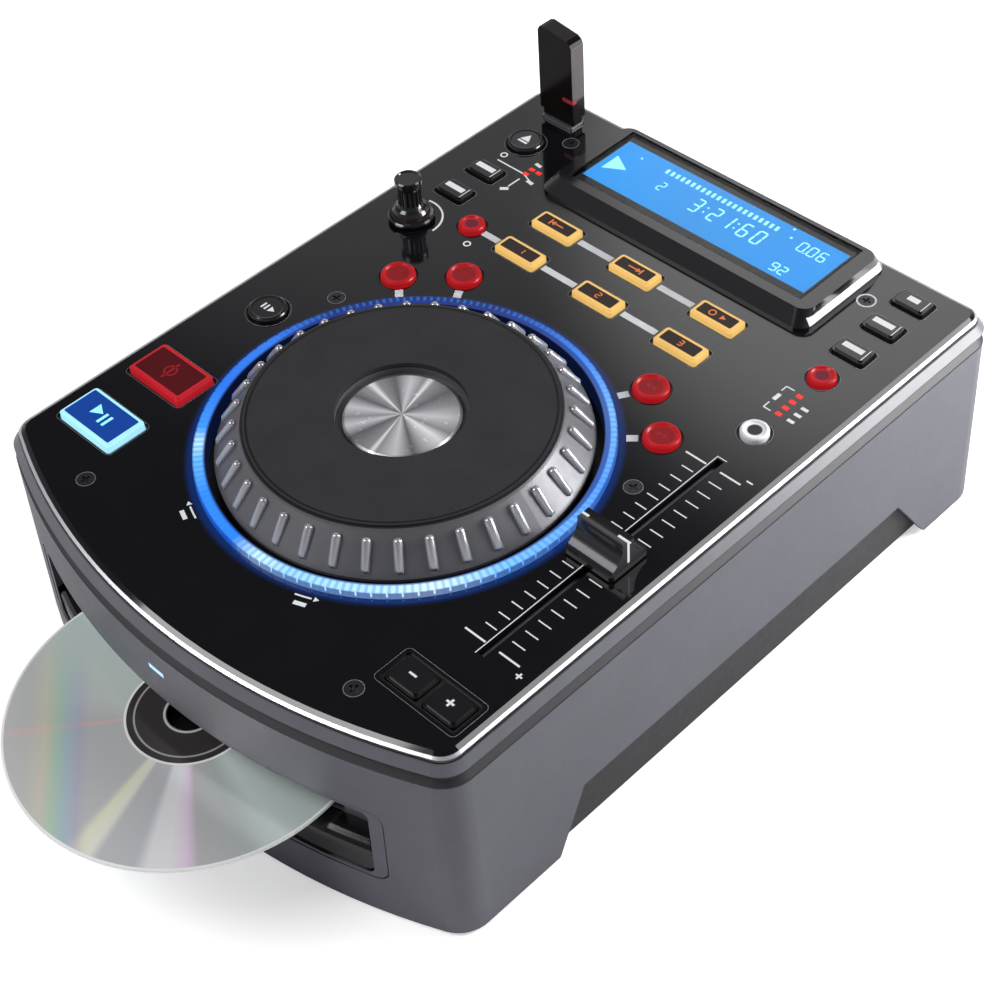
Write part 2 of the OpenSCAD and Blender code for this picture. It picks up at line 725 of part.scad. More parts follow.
module fader_cap() {
  base_h = 1.8;
  top_d = 5.2;
  body_w = cap_w - 1.4;
  body_d = cap_d - 2.4;
  rise = cap_top - cap_low - base_h;
  cove_r = 8;
  cove_at = [body_d / 2 + 3.1, base_h + rise - 1.6];
  color([0.13, 0.13, 0.14]) translate([column_x, fader_y, cap_low]) {
    difference() {
      union() {
        linear_extrude(base_h) rounded(cap_w, cap_d, 1.5);
        translate([-body_w / 2, 0, base_h - eps]) rotate([90, 0, 90]) linear_extrude(body_w)
          polygon([[-body_d / 2, 0], [body_d / 2, 0], [body_d / 2 - 0.6, 1.4],
            [top_d / 2, rise], [-top_d / 2, rise], [-body_d / 2 + 0.6, 1.4]]);
      }
      for (s = [-1, 1]) translate([0, s * cove_at[0], cove_at[1]]) rotate([0, 90, 0])
        cylinder(r = cove_r, h = cap_w + 2, center = true, $fn = 96);
      translate([0, 0, base_h + rise + 9.4]) rotate([0, 90, 0])
        cylinder(r = 10, h = cap_w + 2, center = true, $fn = 96);
    }
    translate([-stem_x / 2, -stem_y / 2, control_z + 1.4 - cap_low])
      cube([stem_x, stem_y, cap_low - control_z]);
  }
}

// Body of the track encoder, with the bush that its shaft runs in
module encoder_body() {
  color([0.35, 0.35, 0.36]) translate([knob_at[0], knob_at[1], control_z]) difference() {
    union() {
      translate([-6, -6, 0]) cube([12, 12, 4.4]);
      cylinder(r = bush_r, h = plate_top - control_z - 0.4);
    }
    translate([0, 0, 1]) cylinder(r = shaft_r + fit, h = 20);
  }
}

module encoder_shaft() {
  color([0.7, 0.7, 0.7]) translate([knob_at[0], knob_at[1], control_z + 2.3])
    cylinder(r = shaft_r, h = 17);
}

module track_knob() {
  neck_r = knob_r - 0.9;
  color([0.12, 0.12, 0.13]) translate([knob_at[0], knob_at[1], 0]) difference() {
    union() {
      rotate_extrude() polygon([[0, knob_low], [knob_foot_r, knob_low], [knob_foot_r, knob_low + 0.7],
        [knob_foot_r - 0.5, knob_low + 1.2], [knob_foot_r - 1.5, knob_low + 1.4],
        [knob_foot_r - 1.9, knob_low + 2.9], [knob_foot_r - 2.7, knob_low + 4.1],
        [neck_r + 0.7, knob_low + 4.9], [neck_r, knob_low + 6], [neck_r, knob_top - 4.4],
        [knob_r - 0.2, knob_top - 3], [knob_r, knob_top - 2.4], [knob_r, knob_top - 0.4],
        [knob_r - 0.4, knob_top], [knob_r - 0.9, knob_top], [knob_r - 1.2, knob_top - 0.4],
        [0, knob_top - 0.4]]);
      for (i = [0:17]) rotate([0, 0, i * 20]) translate([neck_r - 0.05, 0, knob_low + 5])
        cylinder(r = 0.4, h = knob_top - knob_low - 9, $fn = 16);
    }
    translate([0, 0, knob_low - 1]) cylinder(r = shaft_r + fit, h = 11);
  }
}

// Port for the memory stick, in a notch of the control board
module usb_socket() {
  top = plate_top + 1.2;
  color([0.2, 0.2, 0.22]) translate([stick_at[0], stick_at[1], 0]) difference() {
    translate([0, 0, plug_low - 2.4]) linear_extrude(top - plug_low + 2.4) rounded(15, 7.4, 0.8);
    translate([0, 0, plug_low + 20])
      cube([plug_w + 2 * port_gap, plug_t + 2 * port_gap, 40.6], center = true);
  }
}

module control_board() {
  color([0.1, 0.35, 0.2]) difference() {
    union() {
      level(frame_w + 0.7, frame_w + 0.7, control_z - board_t, control_z);
      for (b = RECTS) translate([b[0][0] - 3, b[0][1] - 3, control_z]) cube([6, 6, switch_top - control_z]);
      for (b = ROUNDS) translate([b[0][0] - 3, b[0][1] - 3, control_z]) cube([6, 6, switch_top - control_z]);
    }
    translate([0, jog_y, 0]) cylinder(r = skirt_r - 4, h = 100);
    translate([stick_at[0], stick_at[1], control_z]) cube([16, 8.4, 20], center = true);
    for (p = PLATE_SCREWS) translate([p[0], p[1], 0]) cylinder(r = screw_r + 1, h = 90);
  }
}

module main_board() {
  z = main_z;
  color([0.1, 0.35, 0.2]) {
    span([-board_x, 60, z], [2, 134, z + board_t]);
    span([-70, 84, z + board_t], [-44, 108, z + board_t + 2.4]);
    span([-34, 90, z + board_t], [-20, 104, z + board_t + 2]);
    for (i = [0:4]) translate([-12, 70 + 9 * i, z + board_t]) cylinder(r = 3.2, h = 9);
  }
}

module power_supply() {
  z = supply_z;
  color([0.75, 0.65, 0.3]) {
    span([26, 58, z], [supply_x, 110, z + board_t]);
    span([34, 64, z + board_t], [supply_x - 30, 94, z + board_t + 26]);
    for (y = [68, 86]) translate([supply_x - 16, y, z + board_t]) cylinder(r = 7, h = 24);
    span([32, 100, z + board_t], [60, 103, z + board_t + 20]);
  }
}

// Sheet-metal frame of the slot drive: side cheeks, top bridge and front guide
module drive_chassis() {
  w = chassis_x;
  foot_z = 12;
  color([0.62, 0.63, 0.65]) difference() {
    union() {
      for (s = [-1, 1]) {
        span([s > 0 ? w - chassis_wall : -w, chassis_front, foot_z],
          [s > 0 ? w : -w + chassis_wall, chassis_rear, chassis_top]);
        for (y = [chassis_front + 3, chassis_rear - 13])
          span([s > 0 ? w - 13 : -w, y, foot_z], [s > 0 ? w : -w + 13, y + 10, foot_z + chassis_wall]);
      }
      span([-w, spindle_y - 24, chassis_top - chassis_wall], [w, spindle_y + 24, chassis_top]);
      span([-w, chassis_front, slot_high], [w, chassis_front + 14, slot_high + chassis_wall]);
    }
    translate([0, spindle_y, 0]) cylinder(r = 8.3, h = 100);
    translate([0, roller_y, roller_z]) rotate([0, 90, 0]) cylinder(r = 1.55, h = 200, center = true);
  }
}

module feed_roller() {
  color([0.15, 0.15, 0.15]) translate([0, roller_y, roller_z]) rotate([0, 90, 0]) {
    for (s = [-1, 1]) translate([0, 0, s * 32]) cylinder(r = roller_r, h = 60, center = true);
    cylinder(r = 1.5, h = 2 * chassis_x + 1, center = true);
  }
}

module traverse_plate() {
  w = chassis_x - chassis_wall - 0.4;
  z = traverse_z;
  color([0.66, 0.67, 0.69]) {
    difference() {
      span([-w, spindle_y - 22, z], [w, rod_end + 3, z + traverse_t]);
      translate([0, spindle_y, 0]) cylinder(r = 5, h = 60);
      span([-20, spindle_y + 17, 0], [20, rod_end - 2, 60]);
    }
    for (s = [-1, 1]) {
      translate([s * rod_x, rod_end + 1, rod_z]) rotate([90, 0, 0])
        cylinder(r = 1.5, h = rod_end - spindle_y - 13, $fn = 32);
      for (y = [spindle_y + 13, rod_end])
        span([s * rod_x - 3, y, z + traverse_t - eps], [s * rod_x + 3, y + 3, rod_z + 2.4]);
    }
  }
}

module spindle_motor() {
  color([0.55, 0.55, 0.57]) translate([0, spindle_y, 0]) {
    translate([0, 0, traverse_z - 8]) cylinder(r = 13, h = 8);
    translate([0, 0, traverse_z - 1]) cylinder(r = 1, h = 7);
  }
}

module spindle_hub() {
  color([0.16, 0.16, 0.17]) translate([0, spindle_y, 0]) difference() {
    rotate_extrude() polygon([[0, traverse_z + 2], [3.6, traverse_z + 2], [3.6, hub_top - 2.2],
      [14, hub_top - 2.2], [14, hub_top], [7.2, hub_top], [6.6, hub_top + 1.2], [4.6, hub_top + 2.2],
      [0, hub_top + 2.2]]);
    translate([0, 0, traverse_z]) cylinder(r = 1.03, h = 6.4, $fn = 32);
  }
}

module laser_sled() {
  y0 = spindle_y + 20;
  color([0.3, 0.3, 0.32]) difference() {
    union() {
      span([-rod_x - 3, y0, rod_z - 2.6], [rod_x + 3, y0 + 8, rod_z + 2.6]);
      translate([0, y0 + 4, rod_z]) cylinder(r = 3.4, h = 4.6);
    }
    for (s = [-1, 1]) translate([s * rod_x, 0, rod_z]) rotate([90, 0, 0])
      cylinder(r = 1.55, h = 200, center = true, $fn = 32);
  }
}

module disc_clamp() {
  color([0.2, 0.2, 0.21]) translate([0, spindle_y, 0])
    rotate_extrude() polygon([[6, clamp_z], [15, clamp_z], [15, clamp_z + 2], [8, clamp_z + 2],
      [8, chassis_top + 0.3], [11.5, chassis_top + 0.3], [11.5, chassis_top + 1.8],
      [0, chassis_top + 1.8], [0, clamp_z + 3], [6, clamp_z + 3]]);
}

module rear_jacks() {
  board_top = main_z + board_t;
  color([0.75, 0.72, 0.65]) {
    for (x = JACK_X) translate([x, 0, jack_z]) {
      span([-5.4, 124, board_top - jack_z], [5.4, rear_inner, 5.4]);
      rotate([-90, 0, 0]) rotate_extrude($fn = 48) polygon([[0, 126], [3.9, 126], [3.9, rear_seat],
        [jack_r, rear_seat], [jack_r, rear_seat + 6], [3.4, rear_seat + 6], [3.4, rear_seat + 1],
        [1.6, rear_seat + 1], [1.6, rear_seat + 4.6], [0, rear_seat + 4.6]]);
    }
    translate([usb_b_x, 0, jack_z]) difference() {
      union() {
        span([-6, 124, board_top - jack_z], [6, rear_inner, 5.4]);
        span([-6, 124, -5.4], [6, rear_face + 0.4, 5.4]);
      }
      difference() {
        span([-4.3, 129, -3.4], [4.3, 200, 4.2]);
        span([-2.8, 120, -1.2], [2.8, rear_face - 1, 2]);
      }
    }
  }
}

// Mains inlet and the body that holds the power switch's rocker
module power_entry() {
  color([0.08, 0.08, 0.08]) {
    translate([inlet_x, 0, jack_z]) {
      difference() {
        union() {
          span([-14, 122, -10], [14, rear_seat + 1, 10]);
          span([-17, rear_seat, -12.5], [17, rear_seat + 1.6, 12.5]);
        }
        span([-11, 127, -7.6], [11, 200, 7.6]);
      }
      for (x = [-6, 0, 6]) span([x - 1, 126, x == 0 ? 1.2 : -3], [x + 1, rear_face - 3, x == 0 ? 5.2 : 1]);
    }
    translate([switch_x, 0, jack_z]) difference() {
      union() {
        span([-switch_w / 2, 126, -switch_d / 2], [switch_w / 2, rear_seat + 0.5, switch_d / 2]);
        span([-12, rear_seat, -9.5], [12, rear_seat + 1, 9.5]);
      }
      span([-9.2, 130, -6.8], [9.2, 200, 6.8]);
      translate([0, pivot_y, 0]) rotate([0, 90, 0]) cylinder(r = 1 + fit, h = 20, center = true, $fn = 32);
    }
  }
}

// Rocker of the power switch, on its cross pin, tilted to one of its two positions
module power_switch() {
  color([0.1, 0.1, 0.1]) translate([switch_x, pivot_y, jack_z]) rotate([rocker_tilt, 0, 0]) {
    rotate([0, 90, 0]) cylinder(r = 5.4, h = 18, center = true);
    rotate([0, 90, 0]) cylinder(r = 1, h = 19.6, center = true, $fn = 32);
    rotate([90, 0, 90]) translate([0, 0, -9]) linear_extrude(18)
      polygon([[-2, -4.6], [3.2, -5.6], [5.4, -5.6], [4.4, 0], [5.4, 5.6], [3.2, 5.6], [-2, 4.6]]);
  }
}

module rubber_feet() {
  color([0.05, 0.05, 0.05]) for (x = [-foot_x, foot_x], y = [-foot_y, foot_y])
    translate([x, y, 0]) cylinder(r = foot_r, h = foot_gap);
}

// Cross-head screw with its axis up; the point is below
module screw(length) {
  difference() {
    union() {
      cylinder(r = head_r, h = head_h, $fn = 32);
      translate([0, 0, -length]) cylinder(r = screw_r, h = length + eps, $fn = 32);
    }
    translate([0, 0, head_h]) cube([3.4, 0.8, 1.6], center = true);
    translate([0, 0, head_h]) cube([0.8, 3.4, 1.6], center = true);
  }
}

module case_screws() {
  color([0.2, 0.2, 0.2]) {
    for (p = PLATE_SCREWS) translate([p[0], p[1], plate_top - head_h]) screw(6);
    for (p = BASE_SCREWS) translate([p[0], p[1], sink_z]) rotate([180, 0, 0]) screw(10);
  }
}

module compact_disc() {
  translate([0, disc_y, 0]) color([0.8, 0.85, 0.85]) tube(disc_r, disc_hole_r, disc_low, disc_high, $fn = 240);
}

module usb_stick() {
  color([0.1, 0.09, 0.09]) translate([stick_at[0], stick_at[1], 0]) {
    translate([-plug_w / 2, -plug_t / 2, plug_low]) cube([plug_w, plug_t, collar_low - plug_low + eps]);
    translate([0, 0, collar_low]) linear_extrude(stick_low - collar_low + eps)
      rounded(stick_w - 1.4, stick_t - 0.8, 1);
    translate([0, stick_t / 2, 0]) rotate([90, 0, 0]) linear_extrude(stick_t) stick_outline();
  }
}

// Face of the memory stick, with its slanting top between two soft corners
module stick_outline() {
  w = stick_w / 2;
  right_top = stick_top - stick_w * tan(8);
  polygon([[-w, stick_low], [w, stick_low], [w, right_top - 2.6], [w - 0.8, right_top - 0.7],
    [w - 2.6, right_top + 0.35], [-w + 2.6, stick_top - 0.35], [-w + 0.8, stick_top - 1],
    [-w, stick_top - 2.8]]);
}

// Button with a retaining flange below the plate and a softened crown above it
module rect_button(at, w, d, rise) {
  translate([at[0], at[1], 0]) {
    translate([0, 0, flange_low]) linear_extrude(flange_t)
      square([w + 2 * flange_w, d + 2 * flange_w], center = true);
    translate([0, 0, flange_low]) linear_extrude(plate_top + rise - crown - flange_low)
      rounded(w, d, rect_corner);
    translate([0, 0, plate_top + rise - crown - eps]) linear_extrude(crown + eps)
      rounded(w - 2 * crown, d - 2 * crown, rect_corner);
  }
}

module round_button(at, r, dish) {
  translate([at[0], at[1], 0]) {
    translate([0, 0, flange_low]) cylinder(r = r + flange_w, h = flange_t);
    rotate_extrude() polygon([[0, flange_low], [r, flange_low], [r, button_top - crown],
      [r - 0.3, button_top - 0.2], [r - crown, button_top], [r - crown - 0.4, button_top],
      [r - crown - 0.9, button_top - dish], [0, button_top - dish]]);
  }
}

module play_button() color([0, 0.35, 0.8]) rect_button(play_at, big_w, big_d, 2.4);
module cue_button() color([0.75, 0.12, 0.14]) rect_button(cue_at, big_w, big_d, 2.4);
module stutter_button() color([0.1, 0.1, 0.1]) round_button(stutter_at, round_r, 0.2);
module eject_button() color([0.1, 0.1, 0.1]) round_button(eject_at, round_r, 0.2);
module time_button() color([0.12, 0.12, 0.12]) rect_button(time_at, small_w, small_d, button_rise);
module program_button() color([0.12, 0.12, 0.12]) rect_button(program_at, small_w, small_d, button_rise);
module reverse_button() color([0.8, 0.12, 0.15]) round_button(reverse_at, mini_r, 0.5);
module effect_button_1() color([0.8, 0.12, 0.15]) round_button(effect_at[0], red_r, 0.6);
module effect_button_2() color([0.8, 0.12, 0.15]) round_button(effect_at[1], red_r, 0.6);
module search_button_1() color([0.8, 0.12, 0.15]) round_button(search_at[0], red_r, 0.6);
module search_button_2() color([0.8, 0.12, 0.15]) round_button(search_at[1], red_r, 0.6);
module loop_in_button() color([1, 0.75, 0.3]) rect_button([amber_x[0], loop_y], amber_w, amber_d, button_rise);
module loop_out_button() color([1, 0.75, 0.3]) rect_button([amber_x[1], loop_y], amber_w, amber_d, button_rise);
module reloop_button() color([1, 0.75, 0.3]) rect_button([amber_x[2], loop_y], amber_w, amber_d, button_rise);
module cue_point_1() color([1, 0.75, 0.3]) rect_button([amber_x[0], point_y], amber_w, amber_d, button_rise);
module cue_point_2() color([1, 0.75, 0.3]) rect_button([amber_x[1], point_y], amber_w, amber_d, button_rise);
module cue_point_3() color([1, 0.75, 0.3]) rect_button([amber_x[2], point_y], amber_w, amber_d, button_rise);
module mode_button_1() color([0.12, 0.12, 0.12]) rect_button(mode_at[0], small_w, small_d, button_rise);
module mode_button_2() color([0.12, 0.12, 0.12]) rect_button(mode_at[1], small_w, small_d, button_rise);
module mode_button_3() color([0.12, 0.12, 0.12]) rect_button(mode_at[2], small_w, small_d, button_rise);
module key_lock_button() color([0.8, 0.12, 0.15]) round_button(key_lock_at, mini_r, 0.5);
module pitch_range_button() color([0.9, 0.9, 0.9]) round_button(range_at, mini_r, 0.5);
module bend_minus_button() color([0.09, 0.09, 0.1]) rect_button(bend_at[0], bend_w, bend_d, 1.1);
module bend_plus_button() color([0.09, 0.09, 0.1]) rect_button(bend_at[1], bend_w, bend_d, 1.1);

case_shell();
bottom_tray();
top_frame();
top_plate();
display_hood();
display_window();
display_module();
light_ring();
jog_base();
jog_platter();
jog_pad();
jog_hub_cap();
fader_track();
fader_cap();
encoder_body();
encoder_shaft();
track_knob();
usb_socket();
control_board();
main_board();
power_supply();
drive_chassis();
feed_roller();
traverse_plate();
spindle_motor();
spindle_hub();
laser_sled();
disc_clamp();
rear_jacks();
power_entry();
power_switch();
rubber_feet();
case_screws();
indicator_leds();
compact_disc();
usb_stick();
play_button();
cue_button();
stutter_button();
eject_button();
time_button();
program_button();
reverse_button();
effect_button_1();
effect_button_2();
search_button_1();
search_button_2();
loop_in_button();
loop_out_button();
reloop_button();
cue_point_1();
cue_point_2();
cue_point_3();
mode_button_1();
mode_button_2();
mode_button_3();
key_lock_button();
pitch_range_button();
bend_minus_button();
bend_plus_button();
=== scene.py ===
"""Dresses the tabletop disc player: finishes for every piece, and the printed and lit details.

The frame is the part's own: Z up, the disc slot towards -Y, the pitch fader towards +X. Finishes and the studio
are in metres. What the sub-assemblies lay out is in millimetres, with angles in degrees.
"""

import logging
import math
from dataclasses import dataclass
from enum import Enum

import bmesh
import bpy
from mathutils import Matrix, Vector


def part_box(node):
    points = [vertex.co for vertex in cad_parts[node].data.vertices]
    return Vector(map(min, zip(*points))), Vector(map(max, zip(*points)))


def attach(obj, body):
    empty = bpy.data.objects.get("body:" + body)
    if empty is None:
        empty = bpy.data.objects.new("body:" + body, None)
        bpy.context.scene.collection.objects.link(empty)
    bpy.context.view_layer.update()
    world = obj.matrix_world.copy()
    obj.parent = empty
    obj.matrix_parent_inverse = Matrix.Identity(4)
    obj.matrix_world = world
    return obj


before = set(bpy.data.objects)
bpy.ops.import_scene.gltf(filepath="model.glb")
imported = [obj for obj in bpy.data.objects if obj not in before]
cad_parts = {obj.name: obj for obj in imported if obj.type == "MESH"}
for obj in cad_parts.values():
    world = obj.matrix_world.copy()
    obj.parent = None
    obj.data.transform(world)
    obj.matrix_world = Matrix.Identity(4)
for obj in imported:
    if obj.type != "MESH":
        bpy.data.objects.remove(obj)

log = logging.getLogger("player")

Point = tuple[float, float]
Corner = tuple[float, float, float]
Colour = tuple[float, float, float]
Rows = tuple[tuple, ...]
Stops = list[tuple[float, Colour]]
Socket = bpy.types.NodeSocket
Material = bpy.types.Material

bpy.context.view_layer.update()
MM = 0.001
PLATE_TOP = 0.0846
JOG_AXIS = (0.0, -0.0346, 0.0)
JOG_CENTRE = (0.0, -34.6)
COLUMN_X = 82.4
KNOB = (-82.4, 47.1)
BLACK = (0.0, 0.0, 0.0)
WHITE = (1.0, 1.0, 1.0)
FINE = 0.0001
EDGE = 0.0002
FAR = 9.0
DISH_EDGE = 1.4
ANY = (-FAR, FAR)


def srgb(red: int, green: int, blue: int) -> Colour:
    """A colour in linear light, from its red, green and blue as they are seen, 0 to 255."""
    shares = (red / 255, green / 255, blue / 255)
    return tuple(c / 12.92 if c <= 10 / 255 else ((c + 0.055) / 1.055) ** 2.4 for c in shares)


def stops(*rows: tuple[float, int, int, int]) -> Stops:
    """A ramp's places and colours, from rows of a place and its red, green and blue."""
    return [(place, srgb(*seen)) for place, *seen in rows]


def polar(centre: Point, radius: float, angle: float) -> Point:
    """The point at a radius and an angle in degrees about a centre."""
    turn = math.radians(angle)
    return centre[0] + radius * math.cos(turn), centre[1] + radius * math.sin(turn)


def direction(azimuth: float, elevation: float) -> Vector:
    """The unit vector at an azimuth from +X and an elevation, in degrees."""
    a, e = math.radians(azimuth), math.radians(elevation)
    return Vector((math.cos(a) * math.cos(e), math.sin(a) * math.cos(e), math.sin(e)))


def middle(node: str) -> Corner:
    """Centre of a construction piece across, and its top, in millimetres."""
    low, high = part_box(node)
    return ((low[0] + high[0]) / 2 / MM, (low[1] + high[1]) / 2 / MM, high[2] / MM)


def cap(node: str, grow: float = 0.0) -> tuple[float, float, float, float]:
    """A button's cap above the plate, in millimetres.

    Args:
        node: The button.
        grow: Added to its length and its width.

    Returns:
        The x and y of its middle, its length and its width.
    """
    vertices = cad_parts[node].data.vertices
    xs, ys, _ = zip(*(v.co / MM for v in vertices if v.co.z > PLATE_TOP - 0.0002))
    x, y = (min(xs) + max(xs)) / 2, (min(ys) + max(ys)) / 2
    return x, y, max(xs) - min(xs) + grow, max(ys) - min(ys) + grow


def dish_level(node: str) -> float:
    """Height of the floor of a round button's dished top, in metres."""
    x, y, top = middle(node)
    reach = cap(node)[2] / 2 - DISH_EDGE
    points = [v.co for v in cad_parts[node].data.vertices if v.co.z > PLATE_TOP]
    return min(top * MM, *(p.z for p in points if math.dist((p.x / MM, p.y / MM), (x, y)) < reach))


class Grain(Enum):
    """How a surface's fine relief runs."""

    NONE = "none"
    STIPPLE = "stipple"
    RINGS = "rings"


# ---------------------------------------------------------------- shader nodes


class Graph:
    """Adds nodes to a shader tree. A value is a number, a colour (tuple), a vector (list) or a socket."""

    def __init__(self, tree: bpy.types.NodeTree) -> None:
        """Takes the tree that the nodes go into."""
        self.tree = tree

    def feed(self, value: object, target: Socket) -> None:
        """Links a socket to an input, or sets the input to another value.

        Args:
            value: The socket or the value.
            target: The input.
        """
        if isinstance(value, Socket):
            self.tree.links.new(value, target)
        else:
            target.default_value = (*value, 1) if isinstance(value, tuple) else value

    def add(self, kind: str, inputs: dict[object, object], output: object = 0, **settings: object) -> Socket:
        """Adds a node.

        Args:
            kind: Its type name, without ShaderNode in front.
            inputs: Values, by the names or numbers of its inputs.
            output: Name or number of the output that is wanted.
            settings: Attributes to set on it.

        Returns:
            The wanted output.
        """
        node = self.tree.nodes.new(f"ShaderNode{kind}")
        for key, value in settings.items():
            setattr(node, key, value)
        for key, value in inputs.items():
            self.feed(value, node.inputs[key])
        return node.outputs[output]

    def maths(self, operation: str, *values: object) -> Socket:
        """The result of one of Blender's Math operations, such as ADD, on these values."""
        return self.add("Math", dict(enumerate(values)), operation=operation)

    def times(self, first: object, *others: object) -> Socket:
        """The product of numbers and sockets."""
        for other in others:
            first = self.maths("MULTIPLY", first, other)
        return first

    def axes(self, vector: Socket) -> list[Socket]:
        """The x, y and z of a vector."""
        return list(self.add("SeparateXYZ", {0: vector}).node.outputs)

    def radius(self, vector: Socket) -> Socket:
        """Distance from the Z axis through the vector's origin."""
        x, y, _ = self.axes(vector)
        return self.maths("SQRT", self.maths("ADD", self.times(x, x), self.times(y, y)))

    def turn(self, vector: Socket) -> Socket:
        """Angle about the Z axis, 0 to 1 from -X round by -Y."""
        x, y, _ = self.axes(vector)
        return self.times(self.maths("ADD", self.maths("ARCTAN2", y, x), math.pi), 0.5 / math.pi)

    def remap(self, value: Socket, start: Point, end: Point = (0.0, 1.0), curve: str = "LINEAR") -> Socket:
        """Takes the start range to the end range, by Blender's name for the curve between them."""
        limits = {"From Min": start[0], "From Max": start[1], "To Min": end[0], "To Max": end[1]}
        return self.add("MapRange", {"Value": value, **limits}, "Result", interpolation_type=curve)

    def spread(self, value: Socket, low: float, high: float) -> Socket:
        """Takes 0 to 1 to a range."""
        return self.remap(value, (0.0, 1.0), (low, high))

    def step(self, value: Socket, edge: float, soft: float = EDGE) -> Socket:
        """0 below an edge and 1 above it, over a soft width."""
        return self.remap(value, (edge - soft / 2, edge + soft / 2), curve="SMOOTHSTEP")

    def under(self, value: Socket, edge: float, soft: float = EDGE) -> Socket:
        """1 below an edge and 0 above it, over a soft width."""
        return self.maths("SUBTRACT", 1.0, self.step(value, edge, soft))

    def between(self, value: Socket, low: float, high: float, soft: float = EDGE) -> Socket:
        """1 between two edges and 0 outside them, over a soft width at each."""
        return self.maths("SUBTRACT", self.step(value, low, soft), self.step(value, high, soft))

    def within(self, vector: Socket, low: Corner, high: Corner, soft: float) -> Socket:
        """1 inside a box with these corners and 0 outside it, over a soft width at each side."""
        sides = zip(self.axes(vector), low, high)
        return self.times(*(self.between(axis, start, end, soft) for axis, start, end in sides))

    def noise(self, vector: Socket, scale: float, detail: float = 3.0) -> Socket:
        """Noise of 0 to 1, with so many features per metre and so many octaves."""
        return self.add("TexNoise", {"Vector": vector, "Scale": scale, "Detail": detail}, "Fac")

    def ramp(self, value: Socket, places: Stops) -> Socket:
        """A colour ramp.

        Args:
            value: 0 to 1.
            places: Its places and their colours.

        Returns:
            The colour.
        """
        colour = self.add("ValToRGB", {"Fac": value}, "Color")
        elements = colour.node.color_ramp.elements
        while len(elements) < len(places):
            elements.new(0.5)
        for element, (place, shade) in zip(elements, places):
            element.position = place
            element.color = (*shade, 1)
        return colour

    def mix(self, mask: object, below: object, above: object, blend: str = "MIX") -> Socket:
        """Mixes two colours: where the mask is 1, the second is blended over the first."""
        return self.add("Mix", {0: mask, 6: below, 7: above}, 2, data_type="RGBA", blend_type=blend)

    def level(self, mask: Socket, below: object, above: float) -> Socket:
        """Mixes two numbers: where the mask is 1, the second holds."""
        return self.add("Mix", {0: mask, 2: below, 3: above}, data_type="FLOAT")

    def by_camera(self, other: Socket, seen: Socket) -> Socket:
        """One shader for what the camera sees directly, and another for every other ray."""
        return self.add("MixShader", {0: self.add("LightPath", {}, "Is Camera Ray"), 1: other, 2: seen})


class Nodes(Graph):
    """The nodes of one material, round its Principled shader."""

    def __init__(self, name: str) -> None:
        """Starts a material of that name."""
        self.material = bpy.data.materials.new(name)
        self.material.use_nodes = True
        super().__init__(self.material.node_tree)
        principled = self.tree.nodes["Principled BSDF"]
        self.shader, self.surface = principled.inputs, principled.outputs[0]

    def give(self, **values: object) -> None:
        """Gives the shader's inputs their values, with _ for the spaces in their names."""
        for name, value in values.items():
            self.feed(value, self.shader[name.replace("_", " ")])

    def source(self, name: str) -> object:
        """What one of the shader's inputs has now: a socket, or its own value."""
        links = self.shader[name].links
        return links[0].from_socket if links else self.shader[name].default_value

    def place(self, centre: Corner = (0.0, 0.0, 0.0)) -> Socket:
        """Object coordinates about a point, in metres."""
        inputs = {"Vector": self.add("TexCoord", {}, "Object"), "Location": [-c for c in centre]}
        return self.add("Mapping", inputs, vector_type="POINT")

    def cover(self, mask: Socket, colour: Colour, roughness: float, metallic: float = 0.0) -> None:
        """Lays another finish over part of the surface.

        Args:
            mask: 1 where the finish goes.
            colour: Its colour.
            roughness: Its roughness.
            metallic: Its share of bare metal.
        """
        for name in ("Base Color", "Emission Color"):
            if self.shader[name].links:
                self.feed(self.mix(mask, self.source(name), colour), self.shader[name])
        self.give(Roughness=self.level(mask, self.source("Roughness"), roughness))
        if self.source("Metallic") != metallic:
            self.give(Metallic=self.level(mask, self.source("Metallic"), metallic))

    def bump(self, height: Socket, depth: float) -> None:
        """Sends a height of 0 to 1 to the shader's normal, where 1 stands for a depth in metres."""
        self.give(Normal=self.add("Bump", {"Distance": depth, "Height": height}, "Normal"))


# ---------------------------------------------------------------- finishes


@dataclass(frozen=True)
class Patch:
    """Another finish over part of a surface, within limits along the axes and in radius from its centre."""

    colour: Colour
    roughness: float
    metallic: float = 0.0
    x: Point = ANY
    y: Point = ANY
    z: Point = ANY
    radius: Point = ANY
    soft: float = EDGE
    radius_soft: float = EDGE
    centre: Corner | None = None

    def lay(self, nodes: Nodes, place: Socket) -> None:
        """Covers what lies within the limits.

        Args:
            nodes: The material's nodes.
            place: Object coordinates about the finish's centre, unless the patch has its own.
        """
        place = nodes.place(self.centre) if self.centre else place
        limits = zip((*nodes.axes(place), nodes.radius(place)), (self.x, self.y, self.z, self.radius))
        softs = (self.soft, self.soft, self.soft, self.radius_soft)
        masks = [nodes.between(v, *ends, soft) for (v, ends), soft in zip(limits, softs) if ends != ANY]
        nodes.cover(nodes.times(*masks), self.colour, self.roughness, self.metallic)


